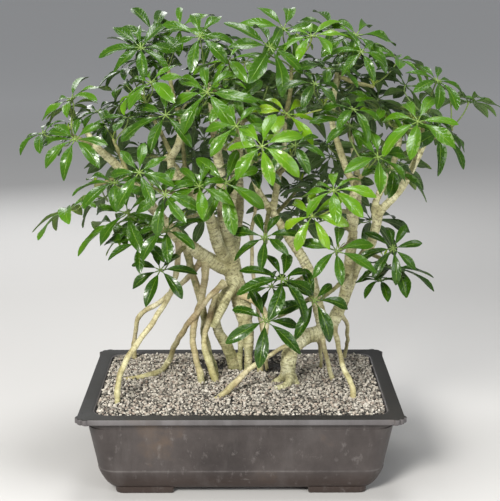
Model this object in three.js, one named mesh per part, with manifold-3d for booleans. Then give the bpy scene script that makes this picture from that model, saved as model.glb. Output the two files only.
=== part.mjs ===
// An umbrella tree grown as a banyan-style bonsai: two trunks on aerial roots, in a plastic training pot
// filled with crushed gravel. Millimetres, +X to the right, +Y to the back, +Z up, origin under the middle.
import * as THREE from 'three';
import { mergeVertices } from 'three/addons/utils/BufferGeometryUtils.js';
import Module from 'manifold-3d';

const wasm = await Module();
wasm.setup();

// Driving dimensions.
const gap = 0.35;
const pot = {
  length: 406,
  depth: 305,
  height: 107,
  lip: 8,
  flange: 21.5,
  wall: 3.5,
  footHeight: 8,
  floor: 3.5,
};
const drain = { spread: 85, hole: 24, mesh: 42, thickness: 1.6, bar: 3, cells: 4 };
const foot = { inner: 84, outerX: 157, innerY: 60, outerY: 121, plinthTop: 14 };
const gravel = { edgeDrop: 3, crown: 2.5 };
const leaf = { length: 50, notch: 0.4, leaflets: 6, thickness: 2.2, petiole: 1.1 };
const golden = Math.PI * (3 - Math.sqrt(5));

// Solids: closed three.js meshes go in, joined and cut ones come back.
function solidOf(geometry) {
  geometry.deleteAttribute('normal');
  geometry.deleteAttribute('uv');
  const merged = mergeVertices(geometry, 1e-3);
  const vertProperties = new Float32Array(merged.attributes.position.array);
  const triVerts = Uint32Array.from(merged.index.array);
  const solid = new wasm.Manifold(new wasm.Mesh({ numProp: 3, vertProperties, triVerts }));
  if (solid.volume() >= 0) return solid;
  for (let i = 0; i < triVerts.length; i += 3) {
    [triVerts[i], triVerts[i + 1]] = [triVerts[i + 1], triVerts[i]];
  }
  return new wasm.Manifold(new wasm.Mesh({ numProp: 3, vertProperties, triVerts }));
}

function geometryOf(solid) {
  const { vertProperties, triVerts } = solid.getMesh();
  const geometry = new THREE.BufferGeometry();
  geometry.setAttribute('position', new THREE.BufferAttribute(vertProperties, 3));
  geometry.setIndex(new THREE.BufferAttribute(triVerts, 1));
  geometry.computeVertexNormals();
  return geometry;
}

const join = (solids) => solids.reduce((whole, solid) => whole.add(solid));

function largestOf(solid) {
  const pieces = solid.decompose();
  return pieces.reduce((best, piece) => (piece.volume() > best.volume() ? piece : best));
}

// A repeatable number from 0 to 1 for a place in the tree.
function variation(...keys) {
  const mixed = keys.reduce((sum, key, i) => sum + key * (12.9898 + 65.233 * i), 0);
  return Math.abs(Math.sin(mixed) * 43758.5453) % 1;
}

const vector = ([x, y, z]) => new THREE.Vector3(x, y, z);

// A rectangle with round corners, counter-clockwise.
function roundedOutline(halfX, halfY, radius, arcSteps = 5) {
  const points = [];
  const corners = [[1, 1, 0], [-1, 1, 90], [-1, -1, 180], [1, -1, 270]];
  for (const [sx, sy, start] of corners) {
    for (let i = 0; i <= arcSteps; i += 1) {
      const angle = THREE.MathUtils.degToRad(start + (90 * i) / arcSteps);
      const x = sx * (halfX - radius) + radius * Math.cos(angle);
      const y = sy * (halfY - radius) + radius * Math.sin(angle);
      points.push(new THREE.Vector2(x, y));
    }
  }
  return points;
}

// A closed skin through outlines of equal point counts, stacked from the bottom up.
function loft(sections) {
  const count = sections[0].outline.length;
  const positions = [];
  for (const { outline, z } of sections) {
    for (const point of outline) positions.push(point.x, point.y, z);
  }
  const bottom = sections.length * count;
  positions.push(0, 0, sections[0].z, 0, 0, sections.at(-1).z);
  const index = [];
  for (let s = 0; s < sections.length - 1; s += 1) {
    for (let i = 0; i < count; i += 1) {
      const a = s * count + i;
      const b = s * count + ((i + 1) % count);
      index.push(a, b, b + count, a, b + count, a + count);
    }
  }
  for (let i = 0; i < count; i += 1) {
    const next = (i + 1) % count;
    const top = (sections.length - 1) * count;
    index.push(bottom, next, i, bottom + 1, top + i, top + next);
  }
  const geometry = new THREE.BufferGeometry();
  geometry.setAttribute('position', new THREE.Float32BufferAttribute(positions, 3));
  geometry.setIndex(index);
  return solidOf(geometry);
}

function box(sizeX, sizeY, sizeZ, x, y, z) {
  return solidOf(new THREE.BoxGeometry(sizeX, sizeY, sizeZ).translate(x, y, z));
}

// The pot's flange: straight sides and, at each corner, three small lobes stepping round it.
function flangeShape() {
  const [hx, hy] = [pot.length / 2, pot.depth / 2];
  const lobe = 5.6;
  const lobes = [[5.6, 16.2], [10.4, 10.4], [16.2, 5.6]];
  const shape = new THREE.Shape();
  const corners = [[1, 1], [-1, 1], [-1, -1], [1, -1]];
  corners.forEach(([sx, sy], corner) => {
    const order = sx * sy > 0 ? lobes : [...lobes].reverse();
    const turn = (corner * Math.PI) / 2;
    order.forEach(([inX, inY], i) => {
      const start = turn + (i - 1) * 0.35 + (i === 0 ? 0.35 : 0.12);
      const end = turn + Math.PI / 2 + (i - 1) * 0.35 - (i === 2 ? 0.35 : 0.12);
      shape.absarc(sx * (hx - inX), sy * (hy - inY), lobe, start, end, false);
    });
  });
  return shape;
}

const wallLevels = [
  { z: 8, inset: 40, round: 18 },
  { z: 12, inset: 35, round: 21 },
  { z: 17, inset: 30.5, round: 23 },
  { z: 24, inset: 26.8, round: 25 },
  { z: 32, inset: 24, round: 26 },
  { z: 46, inset: 22, round: 26 },
  { z: 88, inset: 14.5, round: 26 },
  { z: 89, inset: 15.4, round: 26 },
  { z: 99.5, inset: 14.8, round: 26 },
];
// The long walls stand a little steeper than the short ones.
const steeper = 0.84;

function wallOutline(level, thinner = 0) {
  const halfX = pot.length / 2 - level.inset - thinner;
  const halfY = pot.depth / 2 - level.inset * steeper - thinner;
  return roundedOutline(halfX, halfY, Math.max(level.round - thinner, 6), 4);
}

function cavity(shrink = 0, floorLift = 0, top = pot.height + 1) {
  const inner = pot.wall + shrink;
  const floorZ = pot.footHeight + pot.floor + floorLift;
  const rim = pot.flange + shrink;
  const opening = roundedOutline(pot.length / 2 - rim, pot.depth / 2 - rim, 20, 4);
  return loft([
    { outline: wallOutline(wallLevels[1], inner), z: floorZ },
    { outline: wallOutline(wallLevels[3], inner), z: 24 },
    { outline: wallOutline(wallLevels[5], inner), z: 46 },
    { outline: opening, z: 92 },
    { outline: opening, z: top },
  ]);
}

function potSolid() {
  const body = loft(wallLevels.map((level) => ({ outline: wallOutline(level), z: level.z })));
  const plinth = loft([
    { outline: roundedOutline(foot.outerX, foot.outerY, 10, 3), z: 0 },
    { outline: roundedOutline(foot.outerX + 1.5, foot.outerY + 1.5, 10, 3), z: foot.plinthTop },
  ]);
  const flange = new THREE.ExtrudeGeometry(flangeShape(), { depth: pot.lip, bevelEnabled: false, curveSegments: 3 });
  flange.translate(0, 0, pot.height - pot.lip);
  const holes = [-1, 1].map((side) => {
    const hole = new THREE.CylinderGeometry(drain.hole / 2, drain.hole / 2, 40, 16).rotateX(Math.PI / 2);
    return solidOf(hole.translate(side * drain.spread, 0, 10));
  });
  const underside = [
    box(foot.inner * 2, pot.depth, pot.footHeight * 2, 0, 0, 0),
    box(pot.length, foot.innerY * 2, pot.footHeight * 2, 0, 0, 0),
  ];
  return join([body, plinth, solidOf(flange)]).subtract(join([cavity(), ...underside, ...holes]));
}

// A square of stiff plastic mesh that keeps the gravel in over a drainage hole.
function drainMeshSolid(side) {
  const pitch = (drain.mesh - drain.bar) / drain.cells;
  const cell = pitch - drain.bar;
  const middleZ = pot.footHeight + pot.floor + gap + drain.thickness / 2;
  const openings = [];
  for (let column = 0; column < drain.cells; column += 1) {
    for (let row = 0; row < drain.cells; row += 1) {
      const x = side * drain.spread + (column - (drain.cells - 1) / 2) * pitch;
      const y = (row - (drain.cells - 1) / 2) * pitch;
      openings.push(box(cell, cell, 2 * drain.thickness, x, y, middleZ));
    }
  }
  const sheet = box(drain.mesh, drain.mesh, drain.thickness, side * drain.spread, 0, middleZ);
  return sheet.subtract(join(openings));
}

// A round limb whose stations are [x, y, z, radius]: a unit tube, swollen or thinned ring by ring.
function limb(stations, { sides = 7, extra = 0, every = 2 } = {}) {
  const path = new THREE.CatmullRomCurve3(stations.map(vector), false, 'centripetal');
  const steps = Math.round((stations.length - 1) * every);
  const corners = Array.from({ length: sides }, (_, i) => {
    const angle = (i * 2 * Math.PI) / sides;
    return new THREE.Vector2(Math.cos(angle), Math.sin(angle));
  });
  const tube = new THREE.ExtrudeGeometry(new THREE.Shape(corners), { steps, extrudePath: path });
  const rings = path.getSpacedPoints(steps);
  const radii = rings.map((_, ring) => {
    const along = path.getUtoTmapping(ring / steps) * (stations.length - 1);
    const from = Math.min(Math.floor(along), stations.length - 2);
    return THREE.MathUtils.lerp(stations[from][3], stations[from + 1][3], along - from) + extra;
  });
  const corner = new THREE.Vector3();
  const { position } = tube.attributes;
  for (let i = 0; i < position.count; i += 1) {
    corner.fromBufferAttribute(position, i);
    const distances = rings.map((centre) => centre.distanceToSquared(corner));
    const ring = distances.indexOf(Math.min(...distances));
    corner.sub(rings[ring]).multiplyScalar(radii[ring]).add(rings[ring]);
    position.setXYZ(i, corner.x, corner.y, corner.z);
  }
  return solidOf(tube);
}

// The wood of each trunk, limb by limb.
const leftLimbs = {
  stem: [
    [8, 44, 84, 5], [10, 44, 130, 5.5], [9, 42, 160, 8], [4, 38, 190, 11], [-4, 34, 221, 12.5],
    [-12, 30, 257, 12.5], [-20, 28, 293, 10], [-23, 24, 331, 8.5], [-26, 20, 374, 7], [-31, 18, 416, 6], [-36, 20, 462, 5],
    [-39, 22, 503, 3.5],
  ],
  mossyLeg: [
    [-10, 54, 84, 9], [-11, 52, 115, 8.5], [-20, 46, 145, 7.5], [-30, 36, 165, 6.5], [-33, 28, 190, 6],
    [-22, 24, 218, 7], [-10, 26, 240, 8],
  ],
  thinLeg: [[0, 53, 84, 3], [-1, 52, 120, 3], [0, 48, 150, 4.5], [3, 40, 185, 6]],
  arm: [
    [-12, 30, 252, 11], [-44, 22, 270, 10], [-78, 10, 297, 9], [-107, 4, 332, 7.5], [-132, 0, 365, 6.5],
    [-159, -4, 398, 5.5], [-182, -6, 420, 4.8], [-198, -8, 446, 3.5],
  ],
  ringedBranch: [
    [-14, 28, 262, 9], [-27, 10, 283, 8], [-35, 0, 312, 7.5], [-42, -8, 337, 6.8], [-57, -12, 358, 6.3],
    [-82, -16, 382, 5.5], [-88, -16, 405, 5], [-79, -14, 424, 4.8], [-74, -10, 448, 4.2], [-66, -2, 492, 3],
  ],
  innerStem: [[-20, 28, 300, 7.5], [-14, 34, 334, 6.5], [-9, 38, 368, 5.8], [-6, 44, 410, 5], [-1, 50, 451, 3.5]],
  stub: [[-6, 26, 238, 7.5], [-17, 12, 221, 6], [-27, 4, 201, 5.6], [-37, 0, 181, 5.2]],
  backLimb: [[-18, 30, 280, 8], [-46, 62, 325, 6.5], [-78, 90, 365, 5.5], [-102, 106, 395, 4]],
  backStem: [[-10, 40, 268, 7], [-2, 76, 325, 6], [-2, 98, 380, 5], [2, 106, 440, 3.5]],
};
const rightLimbs = {
  stem: [
    [64, -9, 114, 6], [62, -13, 128, 9.5], [66, -8, 153, 10.5], [82, 0, 167, 10.5], [103, 10, 171, 9.5],
    [121, 16, 184, 8.8], [133, 20, 207, 8], [143, 22, 232, 7.2], [154, 22, 262, 6.8], [170, 22, 286, 6.4],
    [177, 24, 310, 6.2], [183, 26, 331, 5.9], [200, 28, 350, 5.6], [213, 30, 367, 5.4], [222, 30, 385, 5],
    [231, 28, 405, 4.6], [242, 26, 430, 3.5],
  ],
  frontToe: [
    [62, -14, 130, 7.5], [64, -25, 118, 5.6], [57, -32, 111, 5], [46, -35, 108, 4.6], [32, -34, 101, 3.4],
  ],
  sideToe: [[60, -12, 126, 6.5], [54, -9, 115, 5], [43, -6, 106, 4.4], [34, -4, 98, 3.4]],
  heel: [[64, -12, 124, 6.5], [72, -20, 111, 4.6], [80, -24, 99, 3.6]],
  backToe: [[64, -8, 122, 7], [70, 6, 110, 5.4], [74, 14, 92, 4]],
  outerArm: [
    [178, 24, 314, 5.4], [176, 30, 338, 4.8], [186, 40, 361, 4.5], [198, 50, 385, 4.2], [207, 56, 408, 3.9],
    [212, 60, 439, 3],
  ],
  upright: [
    [138, 20, 219, 6.6], [141, 8, 260, 6.2], [145, -4, 305, 6], [140, -10, 345, 5.6], [146, -12, 369, 5.3],
    [136, -12, 389, 4.9], [126, -8, 417, 4.5], [116, -4, 452, 4], [118, 2, 482, 3.5], [122, 6, 514, 3],
  ],
  inwardBranch: [
    [110, 12, 178, 8.4], [98, 14, 220, 7.8], [88, 18, 257, 7.4], [70, 24, 287, 6.8], [50, 32, 316, 5.8],
    [33, 38, 340, 5], [23, 42, 357, 4.5], [13, 44, 386, 3.8], [8, 44, 415, 3],
  ],
  inwardFork: [[42, 36, 328, 5], [46, 30, 356, 4.4], [50, 22, 384, 4], [56, 18, 416, 3.6], [57, 20, 462, 3]],
  backLimb: [[136, 22, 212, 6.6], [148, 66, 280, 5.6], [160, 96, 345, 4.8], [150, 112, 420, 3.5]],
};

// Aerial roots that come down from the limbs into the gravel, and two that run over its surface.
const roots = {
  root_far_left: [
    [-80, 6, 294, 4], [-83, -6, 263, 3.6], [-89, -20, 236, 3.6], [-111, -40, 202, 3.7], [-133, -58, 174, 3.8],
    [-148, -70, 153, 3.7], [-155, -80, 127, 3.7], [-156, -88, 92, 3.5],
  ],
  root_back_left: [
    [-50, 24, 268, 4], [-68, 34, 243, 3.5], [-87, 44, 224, 3.3], [-112, 60, 199, 3.3], [-138, 76, 179, 3.5],
    [-145, 88, 156, 3.2], [-150, 100, 128, 3.3], [-149, 108, 92, 3.2],
  ],
  root_mossy: [
    [-70, 14, 284, 5], [-66, 24, 256, 4.6], [-61, 25, 237, 4.6], [-54, 26, 212, 4.8], [-48, 26, 187, 5.4],
    [-49, 26, 165, 5], [-44, 22, 144, 5], [-37, 18, 123, 5.2], [-31, 12, 92, 5],
  ],
  root_front_left: [
    [-46, 20, 266, 4.6], [-47, 8, 243, 4.4], [-52, -1, 220, 4.2], [-60, -6, 194, 4.2], [-63, -10, 168, 4.2],
    [-60, -12, 147, 4.1], [-54, -14, 124, 4.2], [-48, -16, 92, 4.2],
  ],
  root_lying_left: [
    [-22, 4, 240, 4], [-34, -8, 232, 3.8], [-50, -17, 215, 3.6], [-74, 0, 180, 3.7], [-87, 28, 152, 3.7],
    [-96, 48, 128, 3.8], [-101, 54, 116, 4.2], [-110, 30, 111, 3.9], [-130, 14, 110, 3.4],
    [-156, 8, 107.5, 2.6],
  ],
  root_inner_left: [
    [-32, 26, 222, 4], [-40, 15, 196, 4.1], [-48, 9, 168, 4.3], [-47, 3, 146, 4.6], [-38, -3, 124, 4.8],
    [-29, -6, 92, 4.4],
  ],
  root_centre: [
    [0, 22, 222, 4.4], [20, 12, 212, 4.4], [33, 20, 193, 4.6], [31, 28, 160, 4.6], [27, 36, 130, 4.8],
    [25, 41, 92, 4.8],
  ],
  root_centre_thin: [
    [24, 50, 352, 2.6], [19, 58, 325, 2.5], [14, 64, 289, 2.5], [16, 68, 244, 2.5], [22, 70, 188, 2.5],
    [32, 68, 145, 2.6], [36, 68, 92, 2.5],
  ],
  root_claw: [
    [70, -22, 166, 2.8], [52, -32, 162, 2.5], [34, -38, 152, 2.6], [13, -46, 140, 3.2], [-10, -58, 122, 4.2],
    [-26, -68, 110, 4.3], [-40, -78, 103, 3],
  ],
  root_back_right: [
    [132, 24, 192, 2.8], [141, 38, 179, 2.6], [146, 64, 149, 2.5], [146, 92, 126, 2.5], [144, 108, 92, 2.5],
  ],
  root_far_right: [
    [124, 14, 180, 3.4], [127, -12, 161, 3.2], [131, -36, 142, 3.3], [140, -58, 125, 3.4], [143, -67, 114, 3.6],
    [138, -76, 92, 3],
  ],
  root_right: [[107, 6, 168, 3.2], [112, 2, 143, 3], [121, 4, 112, 3.2], [123, 4, 92, 3.2]],
  root_right_thin: [[102, 16, 164, 2.4], [107, 38, 139, 2.2], [110, 64, 92, 2.2]],
};

// Leaf sprays. A shoot runs from the wood to its tip, and hubs are the middles of its umbrella leaves.
// The count after them is how many more leaves crowd round the tip.
const sprays = {
  far_left: [[-184, -6, 424], [-212, -14, 436], [[-248, -20, 440], [-215, 10, 480], [-205, -45, 435]], 1],
  left_shoulder: [[-135, 0, 368], [-160, -4, 426], [[-180, 0, 465], [-140, -40, 460], [-165, 42, 440]], 0],
  left_crown: [[-86, -16, 408], [-120, 0, 473], [[-140, 20, 515], [-124, -9, 545], [-110, -45, 505]], 1],
  top_left: [[-74, -9, 452], [-92, 15, 518], [[-110, 20, 561], [-78, 45, 567], [-72, -15, 522]], 2],
  top_left_inner: [[-34, 19, 440], [-45, 22, 513], [[-50, -5, 560], [-32, 50, 550]], 2],
  top_middle: [[-38, 22, 490], [-20, 0, 498], [[-15, -20, 530], [5, 25, 525]], 1],
  upper_left: [[-67, -3, 486], [-58, -30, 466], [[-40, -60, 495]], 2],
  left_front: [[-60, -13, 361], [-105, -75, 378], [[-120, -120, 405], [-90, -112, 377]], 1],
  left_low_front: [[-90, 7, 312], [-112, -40, 318], [[-140, -60, 345], [-125, -70, 310], [-90, -95, 330]], 1],
  left_low: [[-70, 12, 290], [-86, -25, 282], [[-100, -70, 275]], 0],
  left_drooping: [[-150, -3, 388], [-182, -8, 372], [[-215, -30, 345], [-180, 60, 345]], 0],
  middle_left: [[-42, -8, 340], [-48, -65, 368], [[-50, -116, 385]], 0],
  middle_front: [[-33, 18, 425], [-18, -65, 426], [[-5, -120, 460]], 0],
  middle_bright: [[8, 44, 410], [18, -60, 410], [[25, -140, 440], [42, -72, 414]], 1],
  middle_back: [[-1, 50, 446], [20, 62, 453], [[35, 60, 490], [-5, 95, 490]], 2],
  middle_low: [[38, 37, 334], [30, -60, 306], [[30, -110, 325]], 0],
  low_front: [[90, 18, 250], [60, -75, 258], [[50, -130, 275]], 0],
  low_rosette: [[97, 14, 222], [50, -70, 216], [[30, -125, 225]], 0],
  right_low_front: [[141, 10, 252], [105, -60, 238], [[90, -115, 245]], 0],
  right_front: [[144, -3, 300], [124, -60, 298], [[115, -120, 310]], 0],
  far_right_low: [[166, 22, 280], [182, -22, 278], [[190, -60, 300], [193, -30, 268]], 0],
  right_pale: [[141, -9, 338], [115, -75, 353], [[110, -130, 385], [86, -108, 352]], 0],
  right_rosette: [[145, -12, 372], [155, -55, 396], [[165, -95, 420], [135, -92, 452], [186, -50, 398]], 0],
  middle_right: [[50, 23, 382], [62, -45, 413], [[65, -105, 435]], 1],
  upper_right_front: [[117, -3, 455], [106, -25, 470], [[137, -64, 474], [90, -70, 505]], 1],
  top_centre: [[57, 20, 455], [65, 15, 518], [[55, 25, 567], [88, -20, 560], [36, -20, 548]], 2],
  top_right: [[119, 3, 488], [128, 20, 523], [[118, 45, 563], [148, -40, 542], [145, 5, 560]], 1],
  top_far_right: [[121, 6, 510], [165, 8, 496], [[178, -25, 518], [203, 40, 527]], 2],
  outer_right_upper: [[232, 28, 408], [236, 15, 453], [[245, -10, 505], [212, 30, 495], [262, 5, 470]], 1],
  far_right: [[240, 26, 426], [268, 18, 438], [[292, 20, 475], [246, -35, 441]], 1],
  outer_right_front: [[216, 30, 373], [222, -15, 413], [[215, -55, 460]], 0],
  inner_right: [[212, 60, 434], [196, 64, 443], [[180, 55, 475]], 3],
  back_left: [[-98, 104, 390], [-122, 128, 390], [], 6],
  back_left_high: [[-74, 88, 362], [-82, 96, 458], [], 6],
  back_left_low: [[-48, 62, 326], [-75, 120, 306], [], 4],
  back_middle: [[-2, 96, 372], [-8, 152, 383], [], 6],
  back_middle_high: [[2, 106, 436], [15, 122, 483], [], 6],
  back_middle_low: [[44, 37, 324], [82, 112, 352], [], 4],
  back_right: [[156, 102, 370], [168, 134, 392], [], 5],
  back_right_high: [[150, 112, 416], [132, 124, 466], [], 6],
  back_right_low: [[150, 72, 294], [130, 132, 310], [], 4],
};

// The crown that the leaves stay inside.
const crown = { centre: [20, 12, 395], half: [290, 215, 205] };

// Leaves face outwards and up to the light; the young ones over the crown lean to the front.
function facingAt(hub) {
  const [cx, cy] = crown.centre;
  const lean = THREE.MathUtils.clamp((hub.z - 515) / 40, 0, 1) * 0.95;
  const frontwards = THREE.MathUtils.clamp((hub.y - cy) / 92, -1.5, 1.3) - lean;
  return new THREE.Vector3((hub.x - cx) / 520, frontwards, 0.85).normalize();
}

// The rim of an umbrella leaf: the tip of each leaflet and the notch after it, drooping away from the hub.
function rimPoints(form, extra) {
  const { hub, facing, count, length, spin } = form;
  const [u, v] = leafAxes(form);
  const rimPoint = (angle, reach, droop) => {
    const out = u.clone().multiplyScalar(Math.cos(angle)).addScaledVector(v, Math.sin(angle));
    return out.multiplyScalar(reach * Math.cos(droop)).addScaledVector(facing, -reach * Math.sin(droop)).add(hub);
  };
  return Array.from({ length: count * 2 }, (_, i) => {
    const angle = spin + (i * Math.PI) / count;
    if (i % 2 === 1) return rimPoint(angle, length * leaf.notch + 2 * extra, 0.14);
    const reach = length * (0.94 + 0.12 * Math.cos(angle)) * (0.94 + 0.12 * variation(i, hub.x, hub.z));
    return rimPoint(angle, reach + 2 * extra, 0.3);
  });
}

// Directions across a leaf: away from its shoot, and square to that.
function leafAxes({ facing, away }) {
  const u = away.clone().addScaledVector(facing, -away.dot(facing)).normalize();
  return [u, facing.clone().cross(u)];
}

// Three corners of a leaf's stalk round the given point.
function stalkRing(form, centre, extra = 0) {
  const [u, v] = leafAxes(form);
  const radius = leaf.petiole + extra;
  return [0, 1, 2].map((i) => {
    const angle = (i * 2 * Math.PI) / 3;
    const out = u.clone().multiplyScalar(radius * Math.cos(angle)).addScaledVector(v, radius * Math.sin(angle));
    return out.add(centre);
  });
}

function meshSolid(points, index) {
  const geometry = new THREE.BufferGeometry();
  geometry.setAttribute('position', new THREE.Float32BufferAttribute(points.flatMap((p) => p.toArray()), 3));
  geometry.setIndex(index);
  return solidOf(geometry);
}

// The blades of one leaf alone: a thin star with a peak above and below.
function starSolid(form, extra) {
  const rim = rimPoints(form, extra);
  const peaks = [1, -1].map((side) => (
    form.hub.clone().addScaledVector(form.facing, side * (leaf.thickness / 2 + extra))
  ));
  const top = rim.length;
  const index = rim.flatMap((_, i) => {
    const next = (i + 1) % rim.length;
    return [top, i, next, top + 1, next, i];
  });
  return meshSolid([...rim, ...peaks], index);
}

// The stalk of one leaf alone, from its place on the shoot to the hub.
function stalkSolid(form, extra) {
  const end = form.hub.clone().addScaledVector(form.facing, -leaf.thickness);
  const rings = [...stalkRing(form, form.start, extra), ...stalkRing(form, end, extra)];
  return meshSolid(rings, [0, 2, 1, 3, 4, 5, 0, 1, 4, 0, 4, 3, 1, 2, 5, 1, 5, 4, 2, 0, 3, 2, 3, 5]);
}

// One umbrella leaf, blades and stalk in one skin: the underside runs down into the three-sided stalk.
function leafSolid(form) {
  const { hub, facing, start, count, spin } = form;
  const rim = rimPoints(form, 0);
  const collar = rim.length;
  const foot = collar + 3;
  const peak = foot + 3;
  const points = [
    ...rim,
    ...stalkRing(form, hub.clone().addScaledVector(facing, -leaf.thickness / 2)),
    ...stalkRing(form, start),
    hub.clone().addScaledVector(facing, leaf.thickness / 2),
  ];
  const corner = (i) => Math.round((spin + (i * Math.PI) / count) / ((2 * Math.PI) / 3));
  const index = [];
  rim.forEach((_, i) => {
    const next = (i + 1) % collar;
    const [near, after] = [corner(i) % 3, corner(i + 1) % 3];
    index.push(peak, i, next, collar + near, next, i);
    if (after !== near) index.push(collar + near, collar + after, next);
  });
  for (let i = 0; i < 3; i += 1) {
    const next = (i + 1) % 3;
    index.push(collar + i, foot + next, collar + next, collar + i, foot + i, foot + next);
  }
  index.push(foot, foot + 2, foot + 1);
  return meshSolid(points, index);
}

function shootSolid({ from, to }, extra = 0) {
  return limb([[...from, 2.8], [...to, 2.2]], { sides: 5, extra, every: 1 });
}

function boxesMeet(a, b) {
  return [0, 1, 2].every((axis) => a.min[axis] < b.max[axis] && b.min[axis] < a.max[axis]);
}

// What is already in the crown, and whether a new solid would touch any of it.
const taken = [];

function keep(kind, spray, solid) {
  taken.push({ kind, spray, solid, bounds: solid.boundingBox() });
}

function isClear(solid, ignored) {
  const bounds = solid.boundingBox();
  return taken.every((other) => {
    if (ignored(other) || !boxesMeet(bounds, other.bounds)) return true;
    return solid.intersect(other.solid).isEmpty();
  });
}

function leafAt(spray, number, hub, start) {
  const seed = spray.number * 7.1 + number;
  const outwards = hub.clone().sub(start).normalize();
  const facing = facingAt(hub).addScaledVector(outwards, 0.15).normalize();
  const away = outwards.clone().add(new THREE.Vector3(0, 0, -0.8));
  const count = leaf.leaflets + Math.floor(2 * variation(seed, 3));
  const length = leaf.length * (0.86 + 0.3 * variation(seed, 5));
  return { hub, start, facing, away, count, length, spin: 2 * variation(seed, 7) };
}

// A leaf is kept where it touches nothing: it is tried at its place, then a little further back or forward,
// and last against its own shoot.
function growLeaf(spray, number, hub, start, shifts) {
  const ownShoot = (other) => other.kind === 'shoot' && other.spray === spray.number;
  for (const mayTouch of [() => false, ownShoot]) {
    for (const [dx, dy, dz] of shifts) {
      const place = hub.clone().add(new THREE.Vector3(dx, dy, dz));
      const form = leafAt(spray, number, place, start);
      const ownStalk = (other) => other.kind !== 'leaf' && other.spray === spray.number;
      if (isClear(starSolid(form, 0), mayTouch) && isClear(stalkSolid(form, 0), ownStalk)) {
        keep('leaf', spray.number, starSolid(form, gap));
        keep('stalk', spray.number, stalkSolid(form, gap));
        return leafSolid(form);
      }
    }
  }
  return null;
}

const inCrown = (point) => {
  const { centre, half } = crown;
  const reach = [point.x, point.y, point.z].map((value, axis) => ((value - centre[axis]) / half[axis]) ** 2);
  return reach[0] + reach[1] + reach[2] < 0.86;
};

const depthShifts = [0, 9, -9, 18, -18, 27, -27, 36, -36].map((y) => [0, y, 0]);

function stalkStart(spray, hub) {
  const [from, to] = [vector(spray.from), vector(spray.to)];
  const along = to.clone().sub(from);
  const fraction = (hub.clone().sub(from).dot(along) / along.lengthSq()) * 0.8;
  return from.addScaledVector(along, THREE.MathUtils.clamp(fraction, 0.55, 0.97));
}

function growNamedLeaves(spray) {
  spray.hubs.forEach((place, number) => {
    const hub = vector(place);
    spray.leaves.push(growLeaf(spray, number, hub, stalkStart(spray, hub), depthShifts));
  });
}

function growFillLeaves(spray) {
  const tip = vector(spray.to);
  let grown = 0;
  for (let i = 0; grown < spray.fill && i < 60; i += 1) {
    const turn = i * golden + spray.number;
    const rise = 34 * (variation(i, spray.number) - 0.45);
    const reach = 44 + 16 * variation(spray.number, i, 2);
    const hub = tip.clone().add(new THREE.Vector3(reach * Math.cos(turn), reach * Math.sin(turn), rise));
    if (!inCrown(hub)) continue;
    const leafSolid = growLeaf(spray, 20 + i, hub, stalkStart(spray, hub), [[0, 0, 0], [0, 0, 9], [0, 0, -9]]);
    if (leafSolid) {
      spray.leaves.push(leafSolid);
      grown += 1;
    }
  }
}

function limbsSolid(limbs, extra = 0) {
  return join(Object.values(limbs).map((stations) => limb(stations, { extra, sides: 7, every: 1.4 })));
}

function woodSolids() {
  const [left, right] = [limbsSolid(leftLimbs), limbsSolid(rightLimbs)];
  const trunkGuard = limbsSolid(leftLimbs, gap).add(limbsSolid(rightLimbs, gap));
  const solids = { left_trunk: left, right_trunk: largestOf(right.subtract(limbsSolid(leftLimbs, gap))) };
  let guard = trunkGuard;
  for (const [name, stations] of Object.entries(roots)) {
    solids[name] = largestOf(limb(stations, { sides: 6 }).subtract(guard));
    guard = guard.add(limb(stations, { sides: 6, extra: gap }));
  }
  return { solids, guard };
}

function gravelSolid(woodGuard) {
  const top = pot.height - gravel.edgeDrop;
  const heap = [[1, 0], [0.93, 0.4], [0.75, 0.75], [0.45, 1]];
  const bed = cavity(gap, gap, top);
  const rim = pot.flange + gap;
  const ring = roundedOutline(pot.length / 2 - rim, pot.depth / 2 - rim, 20, 4);
  const mound = loft(heap.map(([scale, rise]) => ({
    outline: ring.map((point) => point.clone().multiplyScalar(scale)),
    z: rise === 0 ? top - 2 : top + rise * (gravel.edgeDrop + gravel.crown),
  })));
  const pockets = [-1, 1].map((side) => {
    const size = drain.mesh + 2 * gap;
    return box(size, size, 8, side * drain.spread, 0, pot.footHeight + pot.floor);
  });
  return bed.add(mound).subtract(join([...pockets, woodGuard]));
}

// Materials, one for each substance.
const materials = {
  pot: new THREE.MeshStandardMaterial({ color: '#3a3433', roughness: 0.62, metalness: 0 }),
  gravel: new THREE.MeshStandardMaterial({ color: '#8d8983', roughness: 0.95, metalness: 0 }),
  mesh: new THREE.MeshStandardMaterial({ color: '#1d1f1e', roughness: 0.7, metalness: 0 }),
  bark: new THREE.MeshStandardMaterial({ color: '#b3a27c', roughness: 0.85, metalness: 0 }),
  root: new THREE.MeshStandardMaterial({ color: '#b9955f', roughness: 0.8, metalness: 0 }),
  leaf: new THREE.MeshStandardMaterial({ color: '#2c6b22', roughness: 0.35, metalness: 0 }),
};

const bonsai = new THREE.Group();

function addPiece(name, solid, material) {
  const piece = new THREE.Mesh(geometryOf(solid), material.clone());
  piece.name = name;
  bonsai.add(piece);
}

function addSprays(woodGuard) {
  const grown = Object.entries(sprays).map(([name, [from, to, hubs, fill]], number) => (
    { name, number, from, to, hubs, fill, leaves: [] }
  ));
  keep('wood', -1, woodGuard);
  for (const spray of grown) {
    spray.shoot = largestOf(shootSolid(spray).subtract(woodGuard));
    keep('shoot', spray.number, shootSolid(spray, gap));
  }
  grown.forEach(growNamedLeaves);
  grown.forEach(growFillLeaves);
  for (const spray of grown) {
    const leaves = spray.leaves.filter((solid) => solid !== null);
    addPiece(`spray_${spray.name}`, largestOf(join([spray.shoot, ...leaves])), materials.leaf);
  }
}

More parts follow.
